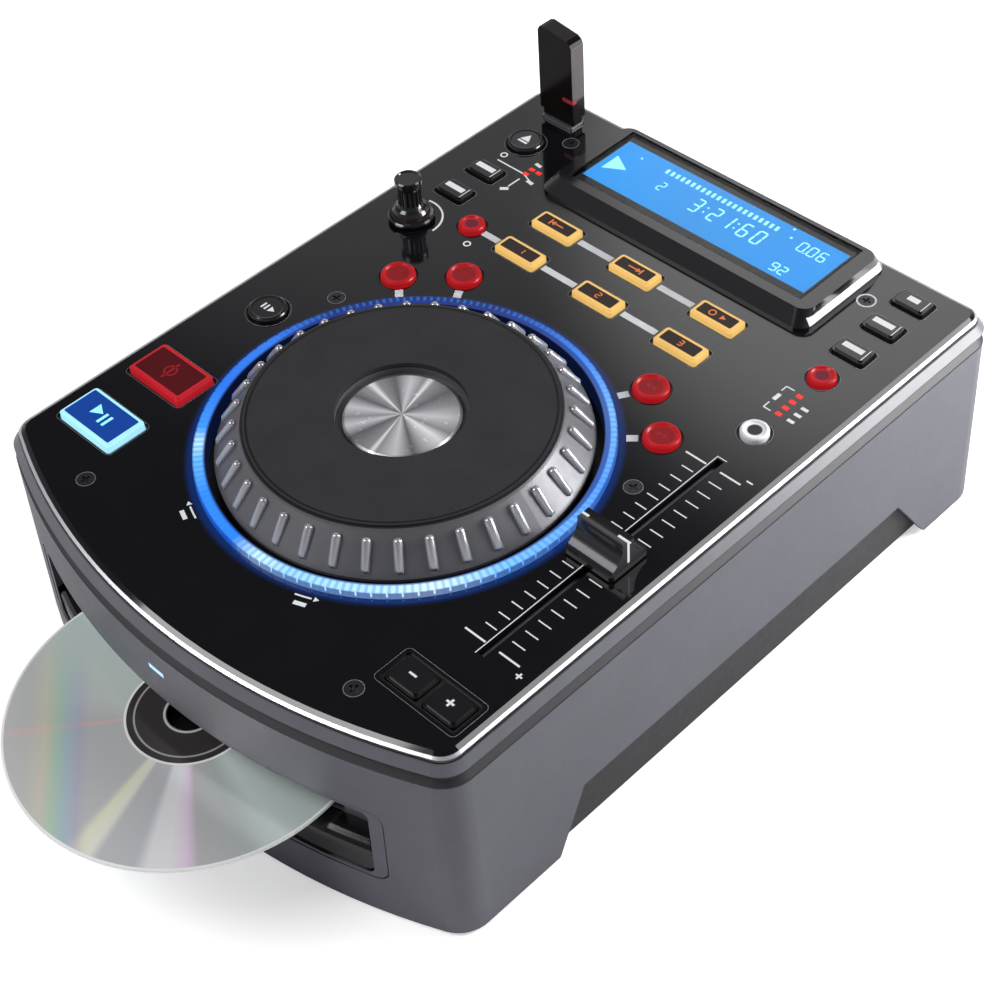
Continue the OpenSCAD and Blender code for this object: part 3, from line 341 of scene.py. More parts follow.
@dataclass(frozen=True)
class Finish:
    """A plain finish: one colour with slight mottling, a grain and a gloss that varies a little."""

    name: str
    colour: Colour
    roughness: float = 0.4
    mottle: float = 0.12
    grain: Grain = Grain.STIPPLE
    grain_scale: float = 2500.0
    grain_depth: float = 0.00001
    metallic: float = 0.0
    coat: float = 0.0
    specular: float = 0.5
    glow: float = 0.0
    centre: Corner = (0.0, 0.0, 0.0)
    mottle_scale: float = 60.0
    gloss_scale: float = 350.0
    gloss_share: float = 0.15
    coat_roughness: float = 0.04
    lit_dimming: float = 0.75
    patches: tuple[Patch, ...] = ()
    on: tuple[str, ...] = ()

    def base(self, nodes: Nodes, place: Socket) -> Socket:
        """The colour over the surface, with its mottling.

        Args:
            nodes: The material's nodes.
            place: Object coordinates.

        Returns:
            The colour's socket.
        """
        dark = tuple(c * (1 - self.mottle) for c in self.colour)
        light = tuple(min(1.0, c * (1 + self.mottle)) for c in self.colour)
        return nodes.ramp(nodes.noise(place, self.mottle_scale, 4.0), [(0.3, dark), (0.7, light)])

    def relief(self, nodes: Nodes, place: Socket) -> None:
        """Adds the grain.

        Args:
            nodes: The material's nodes.
            place: Object coordinates.
        """
        if self.grain is Grain.STIPPLE:
            nodes.bump(nodes.noise(place, self.grain_scale, 2.0), self.grain_depth)
        elif self.grain is Grain.RINGS:
            rings = nodes.maths("SINE", nodes.times(nodes.radius(place), self.grain_scale))
            nodes.bump(nodes.spread(rings, 0.5, 1.0), self.grain_depth)

    def build(self) -> Material:
        """Makes the material.

        Returns:
            The finished material.
        """
        nodes = Nodes(self.name)
        place = nodes.place(self.centre)
        colour = self.base(nodes, place)
        low, high = self.roughness * (1 - self.gloss_share), self.roughness * (1 + self.gloss_share)
        nodes.give(
            Base_Color=colour,
            Roughness=nodes.spread(nodes.noise(place, self.gloss_scale), low, min(1.0, high)),
            Metallic=self.metallic,
            Coat_Weight=self.coat,
            Coat_Roughness=self.coat_roughness,
            Specular_IOR_Level=self.specular,
        )
        if self.glow:
            dimmed = nodes.mix(self.lit_dimming, colour, BLACK)
            nodes.give(Base_Color=dimmed, Emission_Color=colour, Emission_Strength=self.glow)
        self.relief(nodes, place)
        for patch in self.patches:
            patch.lay(nodes, place)
        self.extras(nodes, place)
        return nodes.material

    def extras(self, nodes: Nodes, place: Socket) -> None:
        """For finishes that add something of their own."""


@dataclass(frozen=True)
class Smooth(Finish):
    """A finish without a grain."""

    grain: Grain = Grain.NONE


@dataclass(frozen=True)
class PlateGloss(Smooth):
    """Glossy black plate: painted shade in the matt wells round its buttons, a painted highlight on the bevel and
    a painted blue glow from the ring.
    """

    well_depth: float = 0.0003
    well_up: float = 0.98
    bevel_up: Point = (0.8, 0.93)
    bevel_highlight_heights: Point = (0.083, 0.08375)
    ring_glow_radii: Point = (0.0698, 0.0728)
    ring_glow_low: float = 0.083
    ring_glow_strength: float = 0.4

    def extras(self, nodes: Nodes, place: Socket) -> None:
        """Paints shade in the wells, a highlight on the bevel and a blue glow on the plate round the ring."""
        z = nodes.axes(place)[2]
        up = nodes.axes(nodes.add("NewGeometry", {}, "True Normal"))[2]
        # Painted shade: the flat floors of the wells, darker and matt.
        sunk = nodes.under(z, PLATE_TOP - self.well_depth, FINE)
        nodes.cover(nodes.times(sunk, nodes.step(up, self.well_up, 0.01)), srgb(5, 5, 6), 0.6)
        # Painted highlight: a pale metallic strip on the lower part of the plate's bevel.
        tilted = nodes.between(up, *self.bevel_up, 0.01)
        bevel = nodes.times(tilted, nodes.between(z, *self.bevel_highlight_heights, FINE))
        nodes.cover(bevel, srgb(214, 214, 218), 0.34, 0.7)
        # Painted light: a blue glow on the plate next to the ring, fading outwards.
        fall = nodes.remap(nodes.radius(nodes.place(JOG_AXIS)), self.ring_glow_radii, curve="SMOOTHERSTEP")
        near = nodes.times(nodes.maths("SUBTRACT", 1.0, fall), nodes.step(z, self.ring_glow_low, 0.0005))
        painted_ring_glow = nodes.mix(near, BLACK, srgb(0, 62, 150))
        nodes.give(Emission_Color=painted_ring_glow, Emission_Strength=self.ring_glow_strength)


@dataclass(frozen=True)
class DisplayGlass(Smooth):
    """Backlit blue display with a black border."""

    low: Corner = (-0.0485, 0.1021, 0.0)
    high: Corner = (0.0542, 0.1281, 0.2)
    share_per_metre: float = 8.0

    def base(self, nodes: Nodes, place: Socket) -> Socket:
        """Blue that is a little paler towards the lamps at one side, inside a black border."""
        share = nodes.maths("MULTIPLY_ADD", nodes.axes(place)[0], self.share_per_metre, 0.5)
        blue = nodes.ramp(share, [(0.0, srgb(0, 156, 248)), (0.5, self.colour), (1.0, srgb(0, 146, 236))])
        return nodes.mix(nodes.within(place, self.low, self.high, FINE), srgb(12, 10, 12), blue)


# Places round the lit ring, with red, green and blue.
RING = (
    (0.0, 44, 118, 222), (0.06, 36, 112, 228), (0.108, 60, 150, 252), (0.124, 186, 232, 255),
    (0.142, 104, 184, 255), (0.18, 48, 138, 248), (0.235, 40, 130, 245), (0.262, 202, 240, 255),
    (0.29, 156, 214, 255), (0.37, 186, 228, 255), (0.398, 214, 244, 255), (0.45, 128, 196, 255),
    (0.56, 84, 152, 245), (0.64, 120, 180, 248), (0.70, 60, 130, 225), (0.76, 30, 80, 160),
    (0.80, 14, 40, 92), (0.94, 14, 40, 92), (0.985, 40, 104, 205), (1.0, 44, 118, 222),
)


@dataclass(frozen=True)
class RingLight(Smooth):
    """The lit ring: blue, whiter where the lamps below it stand close, with fine bright ribs."""

    inner: float = 0.0655
    outer: float = 0.0686
    dark_inside: float = 0.065
    back_inset: float = 0.0012
    ribs: float = 180.0
    rib_share: float = 0.42

    def base(self, nodes: Nodes, place: Socket) -> Socket:
        """Colour by angle round the ring, brighter in the middle of its width."""
        turn, radius = nodes.turn(place), nodes.radius(place)
        side = nodes.ramp(turn, stops(*RING))
        wave = nodes.maths("SINE", nodes.times(turn, self.ribs * 2 * math.pi))
        rib = nodes.level(nodes.step(wave, 0.2, 0.8), 0.0, self.rib_share)
        inset = nodes.times(nodes.step(nodes.axes(place)[1], 0.01, 0.04), self.back_inset)
        starts = nodes.step(nodes.maths("SUBTRACT", radius, inset), self.inner, 0.0008)
        core = nodes.maths("SUBTRACT", starts, nodes.step(radius, self.outer, 0.0008))
        faint = nodes.mix(0.8, side, srgb(8, 40, 128))
        lit = nodes.mix(core, faint, nodes.mix(rib, side, srgb(40, 122, 232)))
        return nodes.mix(nodes.step(radius, self.dark_inside), srgb(6, 16, 44), lit)


# Painted reflections: places round the spun cap, each with the number of its tone, from dark to white.
SHEEN_TONES = (srgb(96, 96, 100), srgb(150, 150, 154), srgb(216, 216, 220), WHITE)
SHEEN_FAN = (
    (0.0, 1), (0.035, 0), (0.08, 2), (0.125, 1), (0.16, 2), (0.207, 0), (0.28, 1), (0.292, 3), (0.304, 1),
    (0.358, 2), (0.41, 0), (0.47, 2), (0.5, 3), (0.535, 1), (0.6, 2), (0.66, 1), (0.719, 0), (0.78, 1),
    (0.793, 3), (0.81, 1), (0.851, 2), (0.9, 0), (0.955, 1), (0.972, 3), (0.99, 1),
)


@dataclass(frozen=True)
class SpunMetal(Finish):
    """Turned aluminium, with the fan of light and dark that its rings reflect painted on as highlights."""

    cloud_scale: float = 900.0
    cloud_share: float = 0.15

    def base(self, nodes: Nodes, place: Socket) -> Socket:
        """Painted highlights: brightness by angle."""
        fan = nodes.ramp(nodes.turn(place), [(start, SHEEN_TONES[tone]) for start, tone in SHEEN_FAN])
        cloud = nodes.spread(nodes.noise(place, self.cloud_scale), 0.0, self.cloud_share)
        return nodes.mix(cloud, fan, self.colour)


# Painted reflections: places round the disc, and across its coloured band, with red, green and blue.
REFLECTION_STREAKS = (
    (0.0, 218, 235, 228), (0.1, 216, 224, 220), (0.136, 208, 211, 210), (0.142, 255, 201, 206),
    (0.148, 208, 211, 210), (0.28, 212, 214, 214), (0.29, 255, 255, 225), (0.304, 255, 255, 242),
    (0.312, 212, 214, 215), (0.345, 210, 212, 216), (0.355, 252, 252, 255), (0.372, 255, 255, 255),
    (0.388, 255, 233, 255), (0.398, 208, 206, 208), (0.44, 199, 208, 205), (0.47, 220, 235, 230),
    (0.5, 204, 218, 213), (0.9, 193, 201, 198), (0.985, 229, 252, 252), (1.0, 218, 235, 228),
)
REFLECTED_RAINBOW = (
    (0.0, 216, 217, 212), (0.14, 242, 233, 201), (0.23, 189, 237, 199),
    (0.31, 176, 218, 235), (0.4, 195, 193, 227), (0.5, 208, 209, 209),
)


@dataclass(frozen=True)
class DiscMirror(Smooth):
    """A disc with its light painted on: a clear hub painted dark, painted highlights on its moulded rings, and
    painted spectral reflections across the data.
    """

    inner_ring: Point = (0.0078, 0.0086)
    outer_ring: Point = (0.0176, 0.0182)
    hub_radius: float = 0.0204
    data_radius: float = 0.0212
    rim_radius: float = 0.0592
    band_slope: Point = (14.6, 17.74)
    band_start: float = 1.2
    band_share: float = 0.55

    def base(self, nodes: Nodes, place: Socket) -> Socket:
        """Painted reflections: silver with soft spectral streaks that run out from the middle, and painted
        highlights round the hub and at the rim.
        """
        x, y, _ = nodes.axes(place)
        radius = nodes.radius(place)
        across = nodes.maths("MULTIPLY_ADD", x, self.band_slope[0], self.band_start)
        share = nodes.maths("MULTIPLY_ADD", y, self.band_slope[1], across)
        front = nodes.step(nodes.times(y, -1.0), 0.016, 0.03)
        mask = nodes.times(front, nodes.under(share, 0.44, 0.12), self.band_share)
        data = nodes.mix(mask, nodes.ramp(nodes.turn(place), stops(*REFLECTION_STREAKS)), nodes.ramp(share, stops(*REFLECTED_RAINBOW)))
        # The clear hub is painted dark, with painted highlights on its two moulded rings.
        hub = nodes.mix(nodes.between(radius, *self.inner_ring, 0.0003), srgb(58, 53, 54), srgb(204, 206, 206))
        hub = nodes.mix(nodes.between(radius, *self.outer_ring, 0.0003), hub, srgb(176, 178, 178))
        # Painted highlights: a white ring round the hub and a white rim.
        ring = nodes.between(radius, self.hub_radius, self.data_radius)
        bright = nodes.maths("MAXIMUM", ring, nodes.step(radius, self.rim_radius))
        return nodes.mix(bright, nodes.mix(nodes.step(radius, self.hub_radius), hub, data), WHITE)

    def extras(self, nodes: Nodes, place: Socket) -> None:
        """Gives the data its part-metal sheen."""
        data = nodes.between(nodes.radius(place), self.data_radius, self.rim_radius, 0.0003)
        nodes.give(Metallic=nodes.spread(data, 0.0, self.metallic))


@dataclass(frozen=True)
class LampLens(Smooth):
    """Small lenses: red on the plate and cold white over the disc slot."""

    front_y: float = -0.12

    def base(self, nodes: Nodes, place: Socket) -> Socket:
        """Red, or white at the front of the housing."""
        back = nodes.step(nodes.axes(place)[1], self.front_y, 0.001)
        return nodes.mix(back, srgb(176, 214, 255), self.colour)


@dataclass(frozen=True)
class StickShell(Smooth):
    """Brown-black gloss with a painted highlight on one side."""

    highlight_x: float = -0.07365
    highlight_low: float = 0.0975

    def extras(self, nodes: Nodes, place: Socket) -> None:
        """Paints a highlight on the side that faces the display."""
        x, _, z = nodes.axes(place)
        # Painted highlight: a paler face on the side towards the display.
        side = nodes.times(nodes.step(x, self.highlight_x, FINE), nodes.step(z, self.highlight_low, 0.002))
        nodes.cover(side, srgb(92, 88, 88), 0.35)


RECT_AMBER = ("loop_in_button", "loop_out_button", "reloop_button", "cue_point_1", "cue_point_2", "cue_point_3")
RECT_BLACK = ("time_button", "program_button", "mode_button_1", "mode_button_2", "mode_button_3")
SHEET_METAL = (
    "fader_track", "encoder_body", "encoder_shaft", "usb_socket",
    "drive_chassis", "traverse_plate", "spindle_motor",
)
OTHER_BLACK = ("stutter_button", "eject_button", "bend_minus_button", "bend_plus_button")
SLOT_LIP = Patch(
    srgb(14, 14, 16), 0.1, x=(-0.07915, 0.07915), y=(-0.296, -0.196), z=(0.0198, 0.03195),
    radius=(-FAR, 0.2389), soft=0.00005, centre=(0.0, 0.096, 0.0),
)
# Painted shade on the rim below 78.6 mm, where the groove under it lies in shadow.
GROOVE_SHADE = Patch(srgb(44, 44, 48), 0.5, z=(-FAR, 0.0786), soft=0.0003)
# Painted highlight: near-white on the hood's sloping right end.
HOOD_END_HIGHLIGHT = Patch(srgb(232, 233, 236), 0.3, x=(0.0622, 0.07), y=(0.0935, 0.1335), z=(0.0855, 0.0885), soft=FINE)
JOG_LIP = Patch(srgb(56, 56, 59), 0.22, 0.4, z=(0.0963, FAR), radius=(-FAR, 0.0521))
# Painted shade: a near-black ring in the groove at the pad's edge, and the pad's hole round the hub.
PAD_GROOVE_SHADE = Patch(srgb(12, 12, 13), 0.4, radius=(0.0497, 0.0505))
PAD_HOLE_SHADE = Patch(srgb(6, 6, 7), 0.6, radius=(-FAR, 0.0215))
STICK_PLUG = Patch(srgb(196, 196, 200), 0.25, 0.9, z=(-FAR, 0.0862), soft=FINE)
JOG = {"centre": JOG_AXIS}
FINISHES = (
    Finish(
        "housing_grey", srgb(82, 82, 91), 0.4, 0.06, grain_depth=0.00002, patches=(SLOT_LIP,), on=("case_shell",),
    ),
    Finish("tray_black", srgb(30, 30, 33), 0.5, on=("bottom_tray",)),
    Finish(
        "rim_grey", srgb(100, 100, 107), 0.34, 0.06, grain_depth=0.000015, patches=(GROOVE_SHADE,), on=("top_frame",),
    ),
    PlateGloss("plate_black", srgb(13, 13, 16), 0.1, coat=0.35, on=("top_plate",)),
    Smooth("hood_black", srgb(20, 20, 23), 0.14, coat=0.3, patches=(HOOD_END_HIGHLIGHT,), on=("display_hood",)),
    DisplayGlass(
        "display_blue", srgb(0, 142, 226), 0.3, 0.05, specular=0.15, glow=0.85, on=("display_module",),
    ),
    RingLight("ring_light", srgb(60, 150, 255), 0.3, glow=1.0, on=("light_ring",), **JOG),
    Finish("base_black", srgb(24, 24, 26), 0.5, on=("jog_base", "spindle_hub", "laser_sled", "disc_clamp")),
    Finish(
        "jog_silver", srgb(102, 102, 106), 0.4, 0.05,
        metallic=0.35, patches=(JOG_LIP,), on=("jog_platter",), **JOG,
    ),
    Finish(
        "pad_soft", srgb(40, 40, 42), 0.6, 0.14, Grain.STIPPLE, 1500.0, 0.0001,
        specular=0.35, patches=(PAD_GROOVE_SHADE, PAD_HOLE_SHADE), on=("jog_pad",), **JOG,
    ),
    SpunMetal(
        "hub_spun", srgb(190, 190, 194), 0.26, 0.04, Grain.RINGS, 18000.0,
        metallic=0.3, on=("jog_hub_cap",), **JOG,
    ),
    Finish("grip_silver", srgb(188, 188, 192), 0.22, 0.05, metallic=0.6, **JOG),
    Finish("sheet_metal", srgb(150, 152, 156), 0.35, metallic=0.9, on=SHEET_METAL),
    Smooth("cap_black", srgb(44, 44, 47), 0.24, metallic=0.5, coat=0.2, on=("fader_cap",)),
    Smooth("knob_black", srgb(22, 22, 24), 0.16, coat=0.5, on=("track_knob",)),
    Finish("board_green", srgb(24, 78, 44), 0.35, on=("control_board", "main_board")),
    Finish("supply_amber", srgb(170, 140, 60), 0.5, on=("power_supply",)),
    Finish("roller_rubber", srgb(28, 28, 28), 0.7, on=("feed_roller",)),
    Finish("jack_plated", srgb(190, 184, 170), 0.2, metallic=1.0, on=("rear_jacks",)),
    Finish("entry_black", srgb(20, 20, 22), 0.4, on=("power_entry", "power_switch")),
    Finish("foot_rubber", srgb(18, 18, 18), 0.75, on=("rubber_feet",)),
    Finish("screw_black", srgb(74, 74, 78), 0.26, metallic=0.8, on=("case_screws",)),
    LampLens("lamp_lens", srgb(236, 44, 30), 0.25, glow=1.1, on=("indicator_leds",)),
    DiscMirror(
        "disc_mirror", srgb(166, 170, 168), 0.18, 0.04,
        metallic=0.15, coat=0.3, centre=(0.0, -0.1348, 0.0), on=("compact_disc",),
    ),
    StickShell("stick_gloss", srgb(18, 13, 13), 0.16, specular=0.12, patches=(STICK_PLUG,), on=("usb_stick",)),
    Smooth("button_black", srgb(22, 22, 24), 0.2, coat=0.3, on=RECT_BLACK + OTHER_BLACK),
    Smooth("button_red", srgb(198, 30, 42), 0.25, 0.05, glow=0.7, coat=0.3, on=("cue_button",)),
    Smooth("button_amber", srgb(238, 192, 110), 0.3, 0.05, glow=0.8, on=RECT_AMBER),
    Smooth("button_cyan", srgb(168, 232, 250), 0.25, 0.05, glow=0.95, on=("play_button",)),
    # White ink with a painted glow; the same finish carries the painted highlights on the plate and buttons.
    Finish("ink_and_highlight_white", srgb(236, 238, 240), 0.5, 0.04, glow=0.62),
    Finish("ink_grey", srgb(196, 198, 202), 0.5, 0.1, grain_scale=6000.0),
    # Grey hairlines: painted highlights on the well and screw edges, and the bend buttons' frame.
    Finish("ink_and_highlight_line", srgb(120, 122, 128), 0.5, 0.04),
    Smooth("inset_blue", srgb(0, 62, 152), 0.3, 0.1, glow=0.8),
    Smooth("inset_red", srgb(86, 10, 18), 0.35, 0.1, specular=0.2, glow=0.6),
    Smooth("inset_dark", srgb(30, 16, 11), 0.35, 0.1),
    Smooth("mark_cyan", srgb(150, 240, 250), 0.3, 0.04, glow=1.0),
    Smooth("mark_amber", srgb(226, 122, 60), 0.3, 0.04, glow=0.7),
    Smooth("mark_red", srgb(150, 16, 28), 0.3, 0.04, glow=0.6),
    # Red band with a slight painted glow.
    Smooth("stick_red", srgb(196, 44, 66), 0.3, 0.05, glow=0.2),
    Finish("jack_red", srgb(170, 28, 30), 0.35),
    Finish("jack_white", srgb(214, 214, 210), 0.35),
    Finish("jack_orange", srgb(206, 110, 30), 0.35),
)
# Round buttons: the cap's colour and glow, the colour of its dished middle and that middle's radius.
RED_DISH = (srgb(204, 26, 34), 0.5, srgb(112, 10, 16), 0.0041)
SMALL_RED_DISH = (srgb(204, 26, 34), 0.5, srgb(84, 18, 36), 0.0024)
DISHED = {
    **dict.fromkeys(("effect_button_1", "effect_button_2", "search_button_1", "search_button_2"), RED_DISH),
    **dict.fromkeys(("reverse_button", "key_lock_button"), SMALL_RED_DISH),
    "pitch_range_button": (srgb(226, 226, 228), 0.0, srgb(52, 52, 56), 0.0025),
}


class Palette:
    """Every finish, built once and handed out by its name or by the piece that wears it."""

    def __init__(self) -> None:
        """Builds the finishes."""
        finishes = (*FINISHES, *(self.dished(node, *look) for node, look in DISHED.items()))
        self.made = {finish.name: finish.build() for finish in finishes}
        self.made["window_clear"] = self.window()
        self.worn = {node: finish.name for finish in finishes for node in finish.on}
        self.worn["display_window"] = "window_clear"

    def dished(self, node: str, colour: Colour, glow: float, inside: Colour, radius: float) -> Finish:
        """The finish of one round button.

        Args:
            node: The button.
            colour: Its cap's colour.
            glow: How brightly it shines.
            inside: Its dished middle's colour.
            radius: Its dished middle's radius, in metres.

        Returns:
            The finish, not yet built.
        """
        x, y, _ = middle(node)
        look = {"specular": 0.25, "glow": glow, "centre": (x * MM, y * MM, 0.0), "on": (node,)}
        dish = Patch(inside, 0.3, radius=(-FAR, radius), radius_soft=0.0006)
        return Smooth(f"{node}_cap", colour, 0.3, 0.04, patches=(dish,), **look)

    def window(self) -> Material:
        """Clear acrylic with the faintest smears.

        Returns:
            The material.
        """
        nodes = Nodes("window_clear")
        smears = nodes.spread(nodes.noise(nodes.place(), 90.0), 0.0, 0.03)
        nodes.give(Base_Color=WHITE, Roughness=smears, Transmission_Weight=1.0, IOR=1.2)
        return nodes.material

    def __getitem__(self, name: str) -> Material:
        """The finish of that name."""
        return self.made[name]

    def wear(self, node: str) -> Material:
        """The finish of a construction piece."""
        return self.made[self.worn[node]]


def dress_nodes(palette: Palette) -> None:
    """Gives every construction piece its finish.

    Args:
        palette: The finishes.
    """
    for name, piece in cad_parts.items():
        piece.data.materials.clear()
        piece.data.materials.append(palette.wear(name))
        log.info("%s dressed in %s", name, palette.wear(name).name)


# ---------------------------------------------------------------- marks and inlays


def rotate(angle: float, axis: str) -> None:
    """Turns what is selected about an axis through the origin, by an angle in radians."""
    bpy.ops.transform.rotate(value=-angle, orient_axis=axis, center_override=(0, 0, 0))


def hollow(band: float) -> None:
    """Cuts out the inside of the shape laid last and leaves a band of that width."""
    bpy.ops.mesh.inset(thickness=band * MM, depth=0.0)
    bpy.ops.mesh.delete(type="FACE")


def thicken(piece: bpy.types.Object, thickness: float) -> None:
    """Gives a flat piece its thickness.

    Args:
        piece: The piece, in object mode and active.
        thickness: How far it stands up, in metres.
    """
    solid = piece.modifiers.new("thickness", "SOLIDIFY")
    solid.thickness = thickness
    solid.offset = 1.0
    bpy.ops.object.modifier_apply(modifier="thickness")


# Each bar's place as shares of the digit's width and height, and its angle.
SEVEN_BARS = {
    "a": (0.5, 1.0, 0), "b": (1.0, 0.75, 90), "c": (1.0, 0.25, 90), "d": (0.5, 0.0, 0),
    "e": (0.0, 0.25, 90), "f": (0.0, 0.75, 90), "g": (0.5, 0.5, 0),
}
DIGITS = {"0": "abcdef", "1": "bc", "2": "abged", "3": "abgcd", "6": "afgcde", "9": "abfgcd"}


class Marks:
    """Thin flat shapes of one material, laid in edit mode and given their thickness at the end."""

    def __init__(self, name: str, level: float, thickness: float = 0.00006, origin: Point = (0.0, 0.0)) -> None:
        """Starts an empty piece.

        Args:
            name: The piece's name.
            level: Height that the shapes lie at, in metres.
            thickness: How far they stand up, in metres.
            origin: Where their x and y count from.
        """
        bpy.ops.object.select_all(action="DESELECT")
        bpy.ops.mesh.primitive_plane_add(size=1.0)
        self.piece = bpy.context.object
        self.piece.name = name
        self.level = level
        self.thickness = thickness
        self.origin = origin
        bpy.ops.object.mode_set(mode="EDIT")
        bpy.ops.mesh.delete(type="VERT")

    def lay(self, **rows: Rows) -> None:
        """Lays rows of shapes, each under the name of its own method."""
        for shape, places in rows.items():
            for place in places:
                getattr(self, shape)(*place)

    def sheet(self, place: Corner, turn: Corner, length: float, width: float) -> None:
        """Lays a rectangle anywhere.

        Args:
            place: Its centre in the part's own frame.
            turn: Its turn about each axis, in radians.
            length: Along its own x.
            width: Along its own y.
        """
        bpy.ops.mesh.primitive_plane_add(size=width * MM)
        bpy.ops.transform.resize(value=(length / width, 1, 1), center_override=(0, 0, 0))
        for axis, angle in zip("XYZ", turn):
            if angle:
                rotate(angle, axis)
        bpy.ops.transform.translate(value=[v * MM for v in place])

    def bar(self, x: float, y: float, length: float, width: float, angle: float = 0.0) -> None:
        """Lays a bar about its centre, along an angle from +X."""
        place = (self.origin[0] + x, self.origin[1] + y, self.level / MM)
        self.sheet(place, (0, 0, math.radians(angle)), length, width)

    def line(self, x: float, y: float, end_x: float, end_y: float, width: float) -> None:
        """Lays a bar from one point to another."""
        dx, dy = end_x - x, end_y - y
        self.bar(x + dx / 2, y + dy / 2, math.hypot(dx, dy), width, math.degrees(math.atan2(dy, dx)))

    def soft_bar(self, x: float, y: float, length: float, width: float, corner: float) -> None:
        """Lays a bar with rounded corners."""
        self.bar(x, y, length, width)
        bpy.ops.mesh.bevel(offset=corner * MM, segments=4, affect="VERTICES")

    def frame(self, x: float, y: float, length: float, width: float, corner: float, band: float) -> None:
        """Lays a rounded frame."""
        self.soft_bar(x, y, length, width, corner)
        hollow(band)

    def disc(self, x: float, y: float, radius: float, sides: int = 32, turn: float = 0.0) -> None:
        """Lays a disc, or with three sides a triangle."""
        bpy.ops.mesh.primitive_circle_add(
            vertices=sides,
            radius=radius * MM,
            fill_type="NGON",
            location=((self.origin[0] + x) * MM, (self.origin[1] + y) * MM, self.level),
            rotation=(0, 0, math.radians(turn)),
        )

    def hoop(self, x: float, y: float, radius: float, band: float, sides: int = 48) -> None:
        """Lays a ring."""
        self.disc(x, y, radius, sides)
        hollow(band)

    def arc(self, x: float, y: float, radius: float, width: float, start: float, end: float) -> None:
        """Lays part of a ring as one run of short mitred bars.

        Args:
            x: Centre of the ring.
            y: Centre of the ring.
            radius: Middle of its band.
            width: Of the band.
            start: First angle.
            end: Last angle.
        """
        steps = max(3, int(abs(end - start) / 8))
        length = 2 * (radius + width / 2) * math.tan(math.radians(abs(end - start) / steps / 2))
        for i in range(steps):
            angle = start + (end - start) * (i + 0.5) / steps
            self.bar(*polar((x, y), radius, angle), length, width, angle + 90)

    def number(
        self, text: str, x: float, y: float, height: float, width: float, stroke: float, pitch: float
    ) -> None:
        """Lays a row of seven-bar digits, with points and colons between them.

        Args:
            text: The digits.
            x: Left edge of the first.
            y: Their foot.
            height: Height of a digit.
            width: Width of a digit.
            stroke: Width of a bar.
            pitch: From one digit to the next.
        """
        for letter in text:
            if letter == ".":
                self.bar(x - (pitch - width) / 2, y, stroke, stroke)
            elif letter == ":":
                for share in (0.3, 0.7):
                    self.bar(x - (pitch - width) / 2 + stroke, y + height * share, stroke, stroke)
                x += stroke * 2
            else:
                for across, up, angle in (SEVEN_BARS[key] for key in DIGITS[letter]):
                    length = height / 2 if angle else width
                    self.bar(x + across * width, y + up * height, length - stroke * 0.6, stroke, angle)
                x += pitch

    def finish(self, material: Material, body: str) -> None:
        """Gives the shapes their thickness and finish, and puts them on a body.

        Args:
            material: What they are made of.
            body: What they move with.
        """
        bpy.ops.object.mode_set(mode="OBJECT")
        thicken(self.piece, self.thickness)
        self.piece.data.materials.append(material)
        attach(self.piece, body)
        log.info("%s rides on %s", self.piece.name, body)


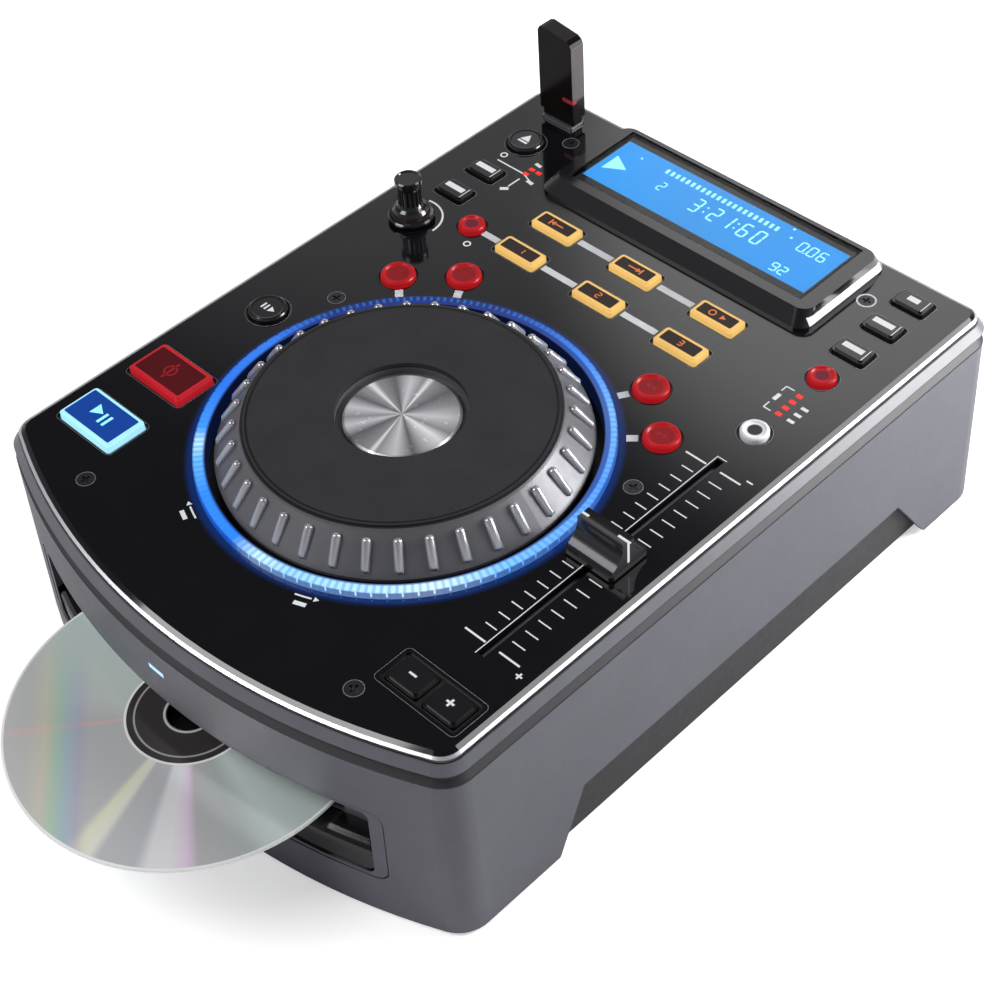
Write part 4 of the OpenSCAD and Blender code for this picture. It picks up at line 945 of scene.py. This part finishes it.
@dataclass
class PlatePrint:
    """The white and grey ink on the top plate, with painted highlights along the fader slot, round the wells and
    round the covered screws.

    Lines are x and y of both ends and the width; bars are x, y, length, width and angle; hoops are x, y,
    radius, band and sides; arcs are x, y, radius, width and both angles; frames are x, y, length, width,
    corner and band.
    """

    level: float = PLATE_TOP + 0.00001
    tick_first: float = 21.4
    tick_pitch: float = 5.52
    tick_count: int = 19
    tick_width: float = 0.42
    end_tick_width: float = 0.672
    ticks: Rows = ((74.6, 79.2), (85.7, 90.9))
    end_ticks: Rows = ((71.5, 79.9), (85.7, 94.0))
    lines: Rows = (
        # The first two lines are a painted highlight along the fader slot's left edge and rear end.
        (80.5, 26.4, 80.5, -82.8, 0.3),
        (80.5, 26.4, 84.3, 26.4, 0.3),
        (-83.2, 92.5, -69.6, 92.5, 0.6),
        (-69.6, 92.5, -63.9, 90.4, 0.5),
        (-68.7, 89.4, -68.7, 83.4, 0.6),
        (79.6, 53.8, 76.6, 53.8, 0.45),
        (76.6, 53.8, 76.6, 56.9, 0.45),
        (79.4, 66.3, 76.2, 66.3, 0.45),
        (76.2, 66.3, 76.2, 63.6, 0.45),
    )
    bars: Rows = (
        (96.3, -80.6, 2.4, 0.6),
        (96.3, -80.6, 2.4, 0.6, 90),
        (95.6, 24.0, 2.4, 0.6),
        (-68.9, 81.4, 1.6, 3.2, -50),
        (-64.2, 90.2, 3.2, 1.5, -8),
        (-69.0, 99.8, 3.0, 1.4, -8),
        (76.9, 60.3, 3.4, 1.5, 90),
        (87.6, 54.2, 2.7, 1.3),
        (87.6, 57.8, 2.7, 1.3),
        (87.6, 61.4, 2.7, 1.3),
    )
    hoops: Rows = ((-83.4, 96.2, 1.5, 0.55, 20), (-56.3, 49.6, 1.5, 0.55, 20), (69.3, 117.8, 3.5, 0.6))
    arcs: Rows = ((*KNOB, 11.3, 0.7, 102, -2), (*KNOB, 11.3, 0.4, 128, 160))
    arrow_radius: float = 72.6
    arrow_angles: tuple[float, ...] = (19.0, 23.5, 24.6)
    label_radius: float = 75.6
    label_angle: float = 21.5
    links: Rows = (
        (-26.6, 76.8, -11.0, 76.8, 2.7),
        (11.0, 76.8, 26.6, 76.8, 2.7),
        (-56.2, 57.9, -48.4, 57.9, 2.7),
        (-26.6, 57.9, -11.0, 57.9, 2.7),
        (11.0, 57.9, 26.6, 57.9, 2.7),
    )
    spoke_start: float = 71.6
    spoke_gap: float = 7.6
    spoke_width: float = 2.9
    well_gap: float = 1.25
    well_corner: float = 1.9
    # Widths of the painted highlights on the edges of the wells and round the screws.
    hairline: float = 0.14
    bend_frame: Rows = ((81.45, -101.8, 34.0, 15.4, 1.9, 0.14),)
    screws: Rows = ((64.0, -116.0), (69.6, -1.6), (69.3, 117.8))
    screw_radius: float = 3.25
    screw_line: float = 0.2
    round_line: float = 0.16

    def build(self, palette: Palette) -> None:
        """Makes the three inks, one piece each; two of them also carry painted highlights.

        Args:
            palette: The finishes.
        """
        for name, draw, ink in (
            ("plate_print_and_highlight", self.white, "ink_and_highlight_white"),
            ("plate_links", self.join, "ink_grey"),
            ("plate_outlines", self.outline, "ink_and_highlight_line"),
        ):
            marks = Marks(name, self.level)
            draw(marks)
            marks.finish(palette[ink], "housing")

    def white(self, ink: Marks) -> None:
        """Draws the fader's scale, a painted highlight along the fader slot's edge, the lamp lines, the brackets,
        the knob's arcs and two curved arrows.
        """
        for k in range(self.tick_count):
            y = self.tick_first - self.tick_pitch * k
            last = k in (0, self.tick_count - 1)
            for start, end in self.end_ticks if last else self.ticks:
                ink.line(start, y, end, y, self.end_tick_width if last else self.tick_width)
        ink.lay(line=self.lines, bar=self.bars, hoop=self.hoops, arc=self.arcs)
        for side in (-1, 1):
            start, end, head = (270 + side * angle for angle in self.arrow_angles)
            ink.arc(*JOG_CENTRE, self.arrow_radius, 0.6, start, end)
            ink.disc(*polar(JOG_CENTRE, self.arrow_radius, head), 1.1, 3, head - 90 + 90 * side)
            angle = side * self.label_angle
            ink.bar(*polar(JOG_CENTRE, self.label_radius, 270 + angle), 4.2, 1.5, angle)

    def join(self, ink: Marks) -> None:
        """Draws the grey bars that join the buttons of each row, and the spokes from the ring."""
        ink.lay(line=self.links)
        for node in ("search_button_1", "search_button_2", "effect_button_1", "effect_button_2"):
            x, y, _ = middle(node)
            angle = math.degrees(math.atan2(y - JOG_CENTRE[1], x - JOG_CENTRE[0]))
            end = math.dist((x, y), JOG_CENTRE) - self.spoke_gap
            ends = (*polar(JOG_CENTRE, self.spoke_start, angle), *polar(JOG_CENTRE, end, angle))
            ink.line(*ends, self.spoke_width)

    def outline(self, ink: Marks) -> None:
        """Draws painted highlights as hairlines on the edges of the wells and round the covered screws, and a
        hairline frame round the bend buttons.
        """
        for node in (*RECT_BLACK, *RECT_AMBER, "play_button", "cue_button"):
            ink.frame(*cap(node, 2 * self.well_gap), self.well_corner, self.hairline)
        ink.lay(frame=self.bend_frame)
        for x, y in self.screws:
            for side in (-1, 1):
                ink.hoop(side * x, y, self.screw_radius, self.screw_line)
        for node in ("eject_button", "stutter_button", "pitch_range_button", "key_lock_button"):
            x, y, _ = middle(node)
            ink.hoop(x, y, cap(node)[2] / 2 + self.well_gap, self.round_line)


@dataclass(frozen=True)
class Face:
    """What one button bears: a window, where it has one, a symbol about the button's middle and, on some, a
    painted highlight along one edge.
    """

    node: str
    symbol: dict[str, Rows]
    ink: str = "ink_and_highlight_white"
    stem: str = ""
    pane: str = ""
    edge: float = 0.0
    dished: bool = False
    # A painted highlight along the cap's right edge.
    glint: bool = False
    pane_rise: float = 0.00012

    def build(self, palette: Palette) -> None:
        """Models the window and the symbol.

        Args:
            palette: The finishes.
        """
        x, y, top = middle(self.node)
        level = dish_level(self.node) if self.dished else top * MM
        if self.pane:
            pane = Marks(f"{self.stem or self.node}_window", level, self.pane_rise)
            pane.soft_bar(*cap(self.node, -2 * self.edge), 0.5)
            pane.finish(palette[self.pane], self.node)
            level += self.pane_rise
        mark = Marks(f"{self.stem}_symbol" if self.stem else f"{self.node}_mark", level, origin=(x, y))
        mark.lay(**self.symbol)
        # Painted highlight: a thin white bar along the cap's right edge.
        if self.glint:
            cap_x, cap_y, length, width = cap(self.node)
            mark.bar(cap_x - x + length / 2 - 1.1, cap_y - y, width - 2.0, 0.3, 90)
        mark.finish(palette[self.ink], self.node)


@dataclass(frozen=True)
class AmberFace(Face):
    """A dark window in an amber button, with an amber symbol."""

    ink: str = "mark_amber"
    pane: str = "inset_dark"
    edge: float = 1.65


@dataclass(frozen=True)
class RedFace(Face):
    """A deep red symbol on the dished top of a round red button."""

    ink: str = "mark_red"
    dished: bool = True


@dataclass(frozen=True)
class BlackFace(Face):
    """A white bar and a painted highlight along one edge of a small black button."""

    glint: bool = True


@dataclass
class PlateButtons:
    """The windows, bars and symbols on the buttons."""

    faces: tuple[Face, ...] = (
        Face(
            "play_button",
            {"disc": ((-3.1, 1.0, 2.9, 3, -90),), "bar": ((1.2, -0.4, 1.1, 4.8), (3.6, -0.4, 1.1, 4.8))},
            "mark_cyan", "play", "inset_blue", 1.4,
        ),
        Face(
            "cue_button",
            {"hoop": ((0, 0, 2.6, 0.75, 32),), "bar": ((0, 0, 1.0, 8.2),)},
            "mark_red", "cue", "inset_red", 1.7,
        ),
        AmberFace(
            "loop_in_button",
            {"bar": ((-2.9, 0, 0.6, 2.8), (0.7, 0, 4.6, 0.6)), "disc": ((-1.5, 0, 1.3, 3, 90),)},
        ),
        AmberFace(
            "loop_out_button",
            {"bar": ((2.9, 0, 0.6, 2.8), (-0.7, 0, 4.6, 0.6)), "disc": ((1.5, 0, 1.3, 3, -90),)},
        ),
        AmberFace("reloop_button", {"hoop": ((-2.2, 0, 1.5, 0.5, 24),), "disc": ((2.2, 0, 1.4, 3, -90),)}),
        AmberFace("cue_point_1", {"number": (("1", 0.0, -1.3, 2.6, 1.6, 0.45, 2.4),)}),
        AmberFace("cue_point_2", {"number": (("2", -0.8, -1.3, 2.6, 1.6, 0.45, 2.4),)}),
        AmberFace("cue_point_3", {"number": (("3", -0.8, -1.3, 2.6, 1.6, 0.45, 2.4),)}),
        BlackFace("time_button", {"bar": ((-0.2, 0.6, 8.6, 2.4),)}),
        BlackFace("program_button", {"bar": ((-0.2, 0.6, 8.6, 2.4),)}),
        BlackFace("mode_button_1", {"bar": ((0.0, 0.5, 4.6, 2.4),)}),
        BlackFace("mode_button_2", {"bar": ((-0.3, 0.6, 8.2, 2.4),)}),
        BlackFace("mode_button_3", {"bar": ((-0.3, 0.6, 8.2, 2.4),)}),
        Face("bend_minus_button", {"bar": ((0, 0.4, 3.0, 0.75),)}),
        Face("bend_plus_button", {"bar": ((0, 0.4, 3.0, 0.75), (0, 0.4, 3.0, 0.75, 90))}),
        Face(
            "eject_button",
            {"disc": ((0, 0.6, 2.5, 3, 0),), "bar": ((0, -1.7, 4.4, 0.9),)},
            stem="eject", dished=True,
        ),
        Face(
            "stutter_button",
            {"bar": ((-2.0, 0, 0.7, 2.8), (-0.4, 0, 0.7, 2.8)), "disc": ((1.9, 0, 1.6, 3, -90),)},
            stem="stutter", dished=True,
        ),
        RedFace("effect_button_1", {"arc": ((0, -0.9, 2.2, 0.45, 60, 120), (0, 0.9, 2.2, 0.45, 60, 120))}),
        RedFace("effect_button_2", {"arc": ((0, -0.9, 2.2, 0.45, 60, 120), (0, 0.9, 2.2, 0.45, 60, 120))}),
        RedFace("search_button_1", {"disc": ((1.3, 0, 1.3, 3, 90), (-1.1, 0, 1.3, 3, 90))}),
        RedFace("search_button_2", {"disc": ((-1.3, 0, 1.3, 3, -90), (1.1, 0, 1.3, 3, -90))}),
    )

    def build(self, palette: Palette) -> None:
        """Makes what each button bears."""
        for face in self.faces:
            face.build(palette)


@dataclass
class DisplayMarks:
    """What the display shows: a running triangle, a bar of time and plain numbers.

    Discs are x, y, radius, sides and turn; numbers are the text, x, y, height, width, stroke and pitch.
    """

    level: float = 0.0893
    thickness: float = 0.00004
    bar_count: int = 22
    bar_first: float = -25.6
    bar_pitch: float = 2.43
    bar_row: float = 123.3
    bar_shape: tuple[float, ...] = (2.6, 1.25, 97)
    discs: Rows = (
        (-43.2, 114.0, 5.4, 3, -90),
        (30.3, 127.0, 0.55, 12),
        (32.4, 122.6, 0.55, 12),
        (-38.0, 123.0, 0.55, 12),
    )
    numbers: Rows = (
        ("3:2", -6.2, 111.4, 7.3, 3.1, 0.75, 7.0),
        ("1:60", 8.2, 111.5, 7.3, 3.1, 0.75, 6.2),
        ("2", -22.6, 112.8, 4.6, 2.2, 0.55, 3.0),
        ("0.06", 37.4, 118.6, 5.0, 2.6, 0.6, 4.3),
        ("92", 36.7, 104.4, 4.2, 2.4, 0.6, 3.6),
    )

    def build(self, palette: Palette) -> None:
        """Makes the marks.

        Args:
            palette: The finishes.
        """
        show = Marks("display_marks", self.level, self.thickness)
        for i in range(self.bar_count):
            show.bar(self.bar_first + self.bar_pitch * i, self.bar_row, *self.bar_shape)
        show.lay(disc=self.discs, number=self.numbers)
        show.finish(palette["mark_cyan"], "housing")


@dataclass
class JogRibs:
    """The rounded grips on the jog wheel's skirt."""

    count: int = 36
    first: float = 5.0
    radius: float = 1.5
    length: float = 10.9
    reach: float = 57.45
    height: float = 91.25
    slope: float = 144.2
    end_round: float = 1.125
    crease: float = 50.0

    def build(self, palette: Palette) -> None:
        """Models one grip, turns its copies round the wheel and puts them on it.

        Args:
            palette: The finishes.
        """
        bpy.ops.object.select_all(action="DESELECT")
        bpy.ops.mesh.primitive_cylinder_add(vertices=16, radius=self.radius * MM, depth=self.length * MM)
        ribs = bpy.context.object
        ribs.name = "jog_grips"
        bpy.ops.object.mode_set(mode="EDIT")
        bpy.ops.mesh.select_all(action="DESELECT")
        mesh = bmesh.from_edit_mesh(ribs.data)
        for face in mesh.faces:
            face.select_set(abs(face.normal.z) > 0.9)
        bmesh.update_edit_mesh(ribs.data)
        bpy.ops.mesh.bevel(offset=self.end_round * MM, segments=4, affect="EDGES")
        bpy.ops.mesh.select_all(action="SELECT")
        rotate(math.radians(self.slope), "Y")
        bpy.ops.transform.translate(value=(self.reach * MM, 0, self.height * MM))
        rotate(math.radians(self.first), "Z")
        for _ in range(self.count - 1):
            bpy.ops.mesh.duplicate()
            rotate(math.radians(360 / self.count), "Z")
        bpy.ops.mesh.select_all(action="SELECT")
        bpy.ops.transform.translate(value=JOG_AXIS)
        bpy.ops.object.mode_set(mode="OBJECT")
        bpy.ops.object.shade_smooth_by_angle(angle=math.radians(self.crease))
        ribs.data.materials.append(palette["grip_silver"])
        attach(ribs, "jog_wheel")
        log.info("%s rides on jog_wheel", ribs.name)


@dataclass
class FaderPointer:
    """The white line over the pitch fader's cap."""

    y: float = -28.3
    width: float = 0.9
    top: float = 97.0
    sink: float = 0.57
    half: float = 9.3

    def build(self, palette: Palette) -> None:
        """Makes the line: over both ends of the ridge and down the outer end.

        Args:
            palette: The finishes.
        """
        left, right = COLUMN_X - self.half, COLUMN_X + self.half
        line = Marks("fader_pointer", (self.top - self.sink) * MM, 0.0001)
        for x, length in ((left + 1.3, 2.6), (right - 2.0, 4.0), (right + 0.45, 0.9)):
            line.bar(x, self.y, length, self.width)
        line.sheet((right, self.y, self.top - 5.0), (0, math.pi / 2, 0), 8.9, self.width)
        line.finish(palette["ink_and_highlight_white"], "fader")


@dataclass
class StickTrim:
    """The coloured band low on the memory stick."""

    front: float = 123.75
    side: float = -73.5
    height: float = 97.4
    band: float = 1.7
    corner: float = 0.7

    def build(self, palette: Palette) -> None:
        """Makes the band: along the front and round the corner.

        Args:
            palette: The finishes.
        """
        trim = Marks("stick_band", self.height * MM, 0.00012)
        trim.sheet((self.side - 2.6, self.front, self.height), (math.pi / 2, 0, 0), 5.2, self.band)
        bpy.ops.mesh.bevel(offset=self.corner * MM, segments=4, affect="VERTICES")
        trim.sheet((self.side, self.front + 1.0, self.height), (0, math.pi / 2, 0), self.band, 2.0)
        trim.finish(palette["stick_red"], "usb_stick")


@dataclass
class RearTrim:
    """The coloured insulators in the rear sockets."""

    jack_z: float = 47.0
    outer: float = 3.3
    inner: float = 1.75
    inset: float = 0.0011
    thickness: float = 0.0006
    rings: Rows = (
        ("jack_ring_left", -76.0, "jack_white"),
        ("jack_ring_right", -58.0, "jack_red"),
        ("jack_ring_digital", -40.0, "jack_orange"),
    )

    def ring(self, name: str, x: float, material: Material) -> None:
        """Makes one insulator as a flat ring.

        Args:
            name: The piece's name.
            x: The socket's place.
            material: Its colour.
        """
        bpy.ops.object.select_all(action="DESELECT")
        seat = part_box("rear_jacks")[1][1] - self.inset
        bpy.ops.mesh.primitive_circle_add(
            vertices=40,
            radius=self.outer * MM,
            fill_type="NGON",
            location=(x * MM, seat, self.jack_z * MM),
            rotation=(-math.pi / 2, 0, 0),
        )
        piece = bpy.context.object
        piece.name = name
        bpy.ops.object.mode_set(mode="EDIT")
        hollow(self.outer - self.inner)
        bpy.ops.object.mode_set(mode="OBJECT")
        bpy.ops.object.transform_apply(location=True, rotation=True, scale=True)
        thicken(piece, self.thickness)
        piece.data.materials.append(material)
        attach(piece, "housing")
        log.info("%s rides on housing", name)

    def build(self, palette: Palette) -> None:
        """Makes the three rings."""
        for name, x, colour in self.rings:
            self.ring(name, x, palette[colour])


# ---------------------------------------------------------------- studio


@dataclass(frozen=True)
class Studio:
    """Camera, floor, lamps and sky.

    Each lamp is a name, a place, its edge and its power in watts. Each sheen is an azimuth from +X, an
    elevation, the angles from its middle where it is full and where it ends, and its strength.
    """

    eye: Corner = (0.37093, -0.33439, 0.54249)
    azimuth: float = 47.74
    elevation: float = 45.62
    roll: float = -4.28
    lens: float = 74.08
    target: Corner = (0.0, 0.0, 0.05)
    floor_size: float = 12.0
    floor_drop: float = 0.0002
    floor_lift: float = 0.5
    floor_fade: Point = (0.4, 1.3)
    sky_bands: Rows = ((0.0, (0.74, 0.74, 0.76)), (0.3, (0.34, 0.34, 0.36)), (0.62, (0.07, 0.07, 0.08)))
    sheens: Rows = ((124.0, 38.0, 1.0, 10.0, 1.75), (139.0, 30.0, 4.0, 16.0, 0.42))
    lamps: Rows = (
        ("key", (-0.45, -0.78, 1.07), 0.7, 10.5),
        ("right_edge", (0.65, 0.734, 1.07), 0.6, 5.5),
        ("side_fill", (0.37, 0.4, 0.25), 0.25, 3.6),
    )

    def camera(self) -> None:
        """Adds the camera and makes it the scene's."""
        back = direction(self.azimuth - 90, self.elevation)
        right = (-back).cross(Vector((0, 0, 1))).normalized()
        up = right.cross(-back)
        roll = math.radians(self.roll)
        across = right * math.cos(roll) + up * math.sin(roll)
        above = -right * math.sin(roll) + up * math.cos(roll)
        data = bpy.data.cameras.new("camera")
        data.sensor_width = 36.0
        data.lens = self.lens
        data.clip_start, data.clip_end = 0.01, 50.0
        seat = bpy.data.objects.new("camera", data)
        bpy.context.scene.collection.objects.link(seat)
        turn = Matrix((across, above, back)).transposed().to_4x4()
        seat.matrix_world = Matrix.Translation(Vector(self.eye)) @ turn
        bpy.context.scene.camera = seat

    def floor(self) -> None:
        """Adds the pale floor, which is white to the camera far out and where no shadow falls."""
        bpy.ops.mesh.primitive_plane_add(size=self.floor_size, location=(0, 0, -self.floor_drop))
        floor = bpy.context.object
        floor.name = "floor"
        nodes = Nodes("floor_pale")
        nodes.give(Base_Color=(0.9, 0.9, 0.9), Roughness=0.9, Specular_IOR_Level=0.1)
        far = nodes.remap(nodes.radius(nodes.place()), self.floor_fade, (self.floor_lift, 1.0), "SMOOTHSTEP")
        lift = nodes.add("Emission", {"Color": WHITE, "Strength": far})
        both = nodes.add("AddShader", {0: nodes.surface, 1: lift})
        end = nodes.tree.nodes["Material Output"].inputs["Surface"]
        nodes.feed(nodes.by_camera(nodes.surface, both), end)
        floor.data.materials.append(nodes.material)

    def lamp(self, name: str, place: Corner, size: float, watts: float) -> None:
        """Adds a square area lamp that faces the player.

        Args:
            name: The lamp's name.
            place: Where it hangs.
            size: Its edge.
            watts: Its power.
        """
        data = bpy.data.lights.new(name, "AREA")
        data.size = size
        data.energy = watts
        lamp = bpy.data.objects.new(name, data)
        bpy.context.scene.collection.objects.link(lamp)
        lamp.location = place
        lamp.rotation_mode = "QUATERNION"
        lamp.rotation_quaternion = (Vector(self.target) - Vector(place)).to_track_quat("-Z", "Y")

    def sky(self) -> None:
        """Adds a soft grey sky with narrow sheens, white to the camera."""
        world = bpy.data.worlds.new("studio")
        bpy.context.scene.world = world
        world.use_nodes = True
        world.node_tree.nodes.clear()
        graph = Graph(world.node_tree)
        way = graph.add("TexCoord", {}, "Generated")
        colour = graph.ramp(graph.axes(way)[2], list(self.sky_bands))
        for azimuth, elevation, inner, outer, strength in self.sheens:
            aim = {0: way, 1: list(direction(azimuth, elevation))}
            near = graph.add("VectorMath", aim, "Value", operation="DOT_PRODUCT")
            limits = (math.cos(math.radians(outer)), math.cos(math.radians(inner)))
            colour = graph.mix(1.0, colour, graph.remap(near, limits, (0.0, strength), "SMOOTHERSTEP"), "ADD")
        glow, white = (graph.add("Background", {"Color": shade}) for shade in (colour, WHITE))
        end = world.node_tree.nodes.new("ShaderNodeOutputWorld").inputs["Surface"]
        graph.feed(graph.by_camera(glow, white), end)

    def build(self) -> None:
        """Sets up the whole studio."""
        self.camera()
        self.floor()
        self.sky()
        for lamp in self.lamps:
            self.lamp(*lamp)
        bpy.context.scene.view_settings.view_transform = "Standard"
        log.info("studio built")


def main() -> None:
    """Builds the scene in order."""
    logging.basicConfig(level=logging.INFO, format="%(name)s: %(message)s")
    studio = Studio()
    studio.build()
    palette = Palette()
    dress_nodes(palette)
    for assembly in (PlatePrint, PlateButtons, DisplayMarks, JogRibs, FaderPointer, StickTrim, RearTrim):
        assembly().build(palette)


if __name__ == "__main__":
    main()
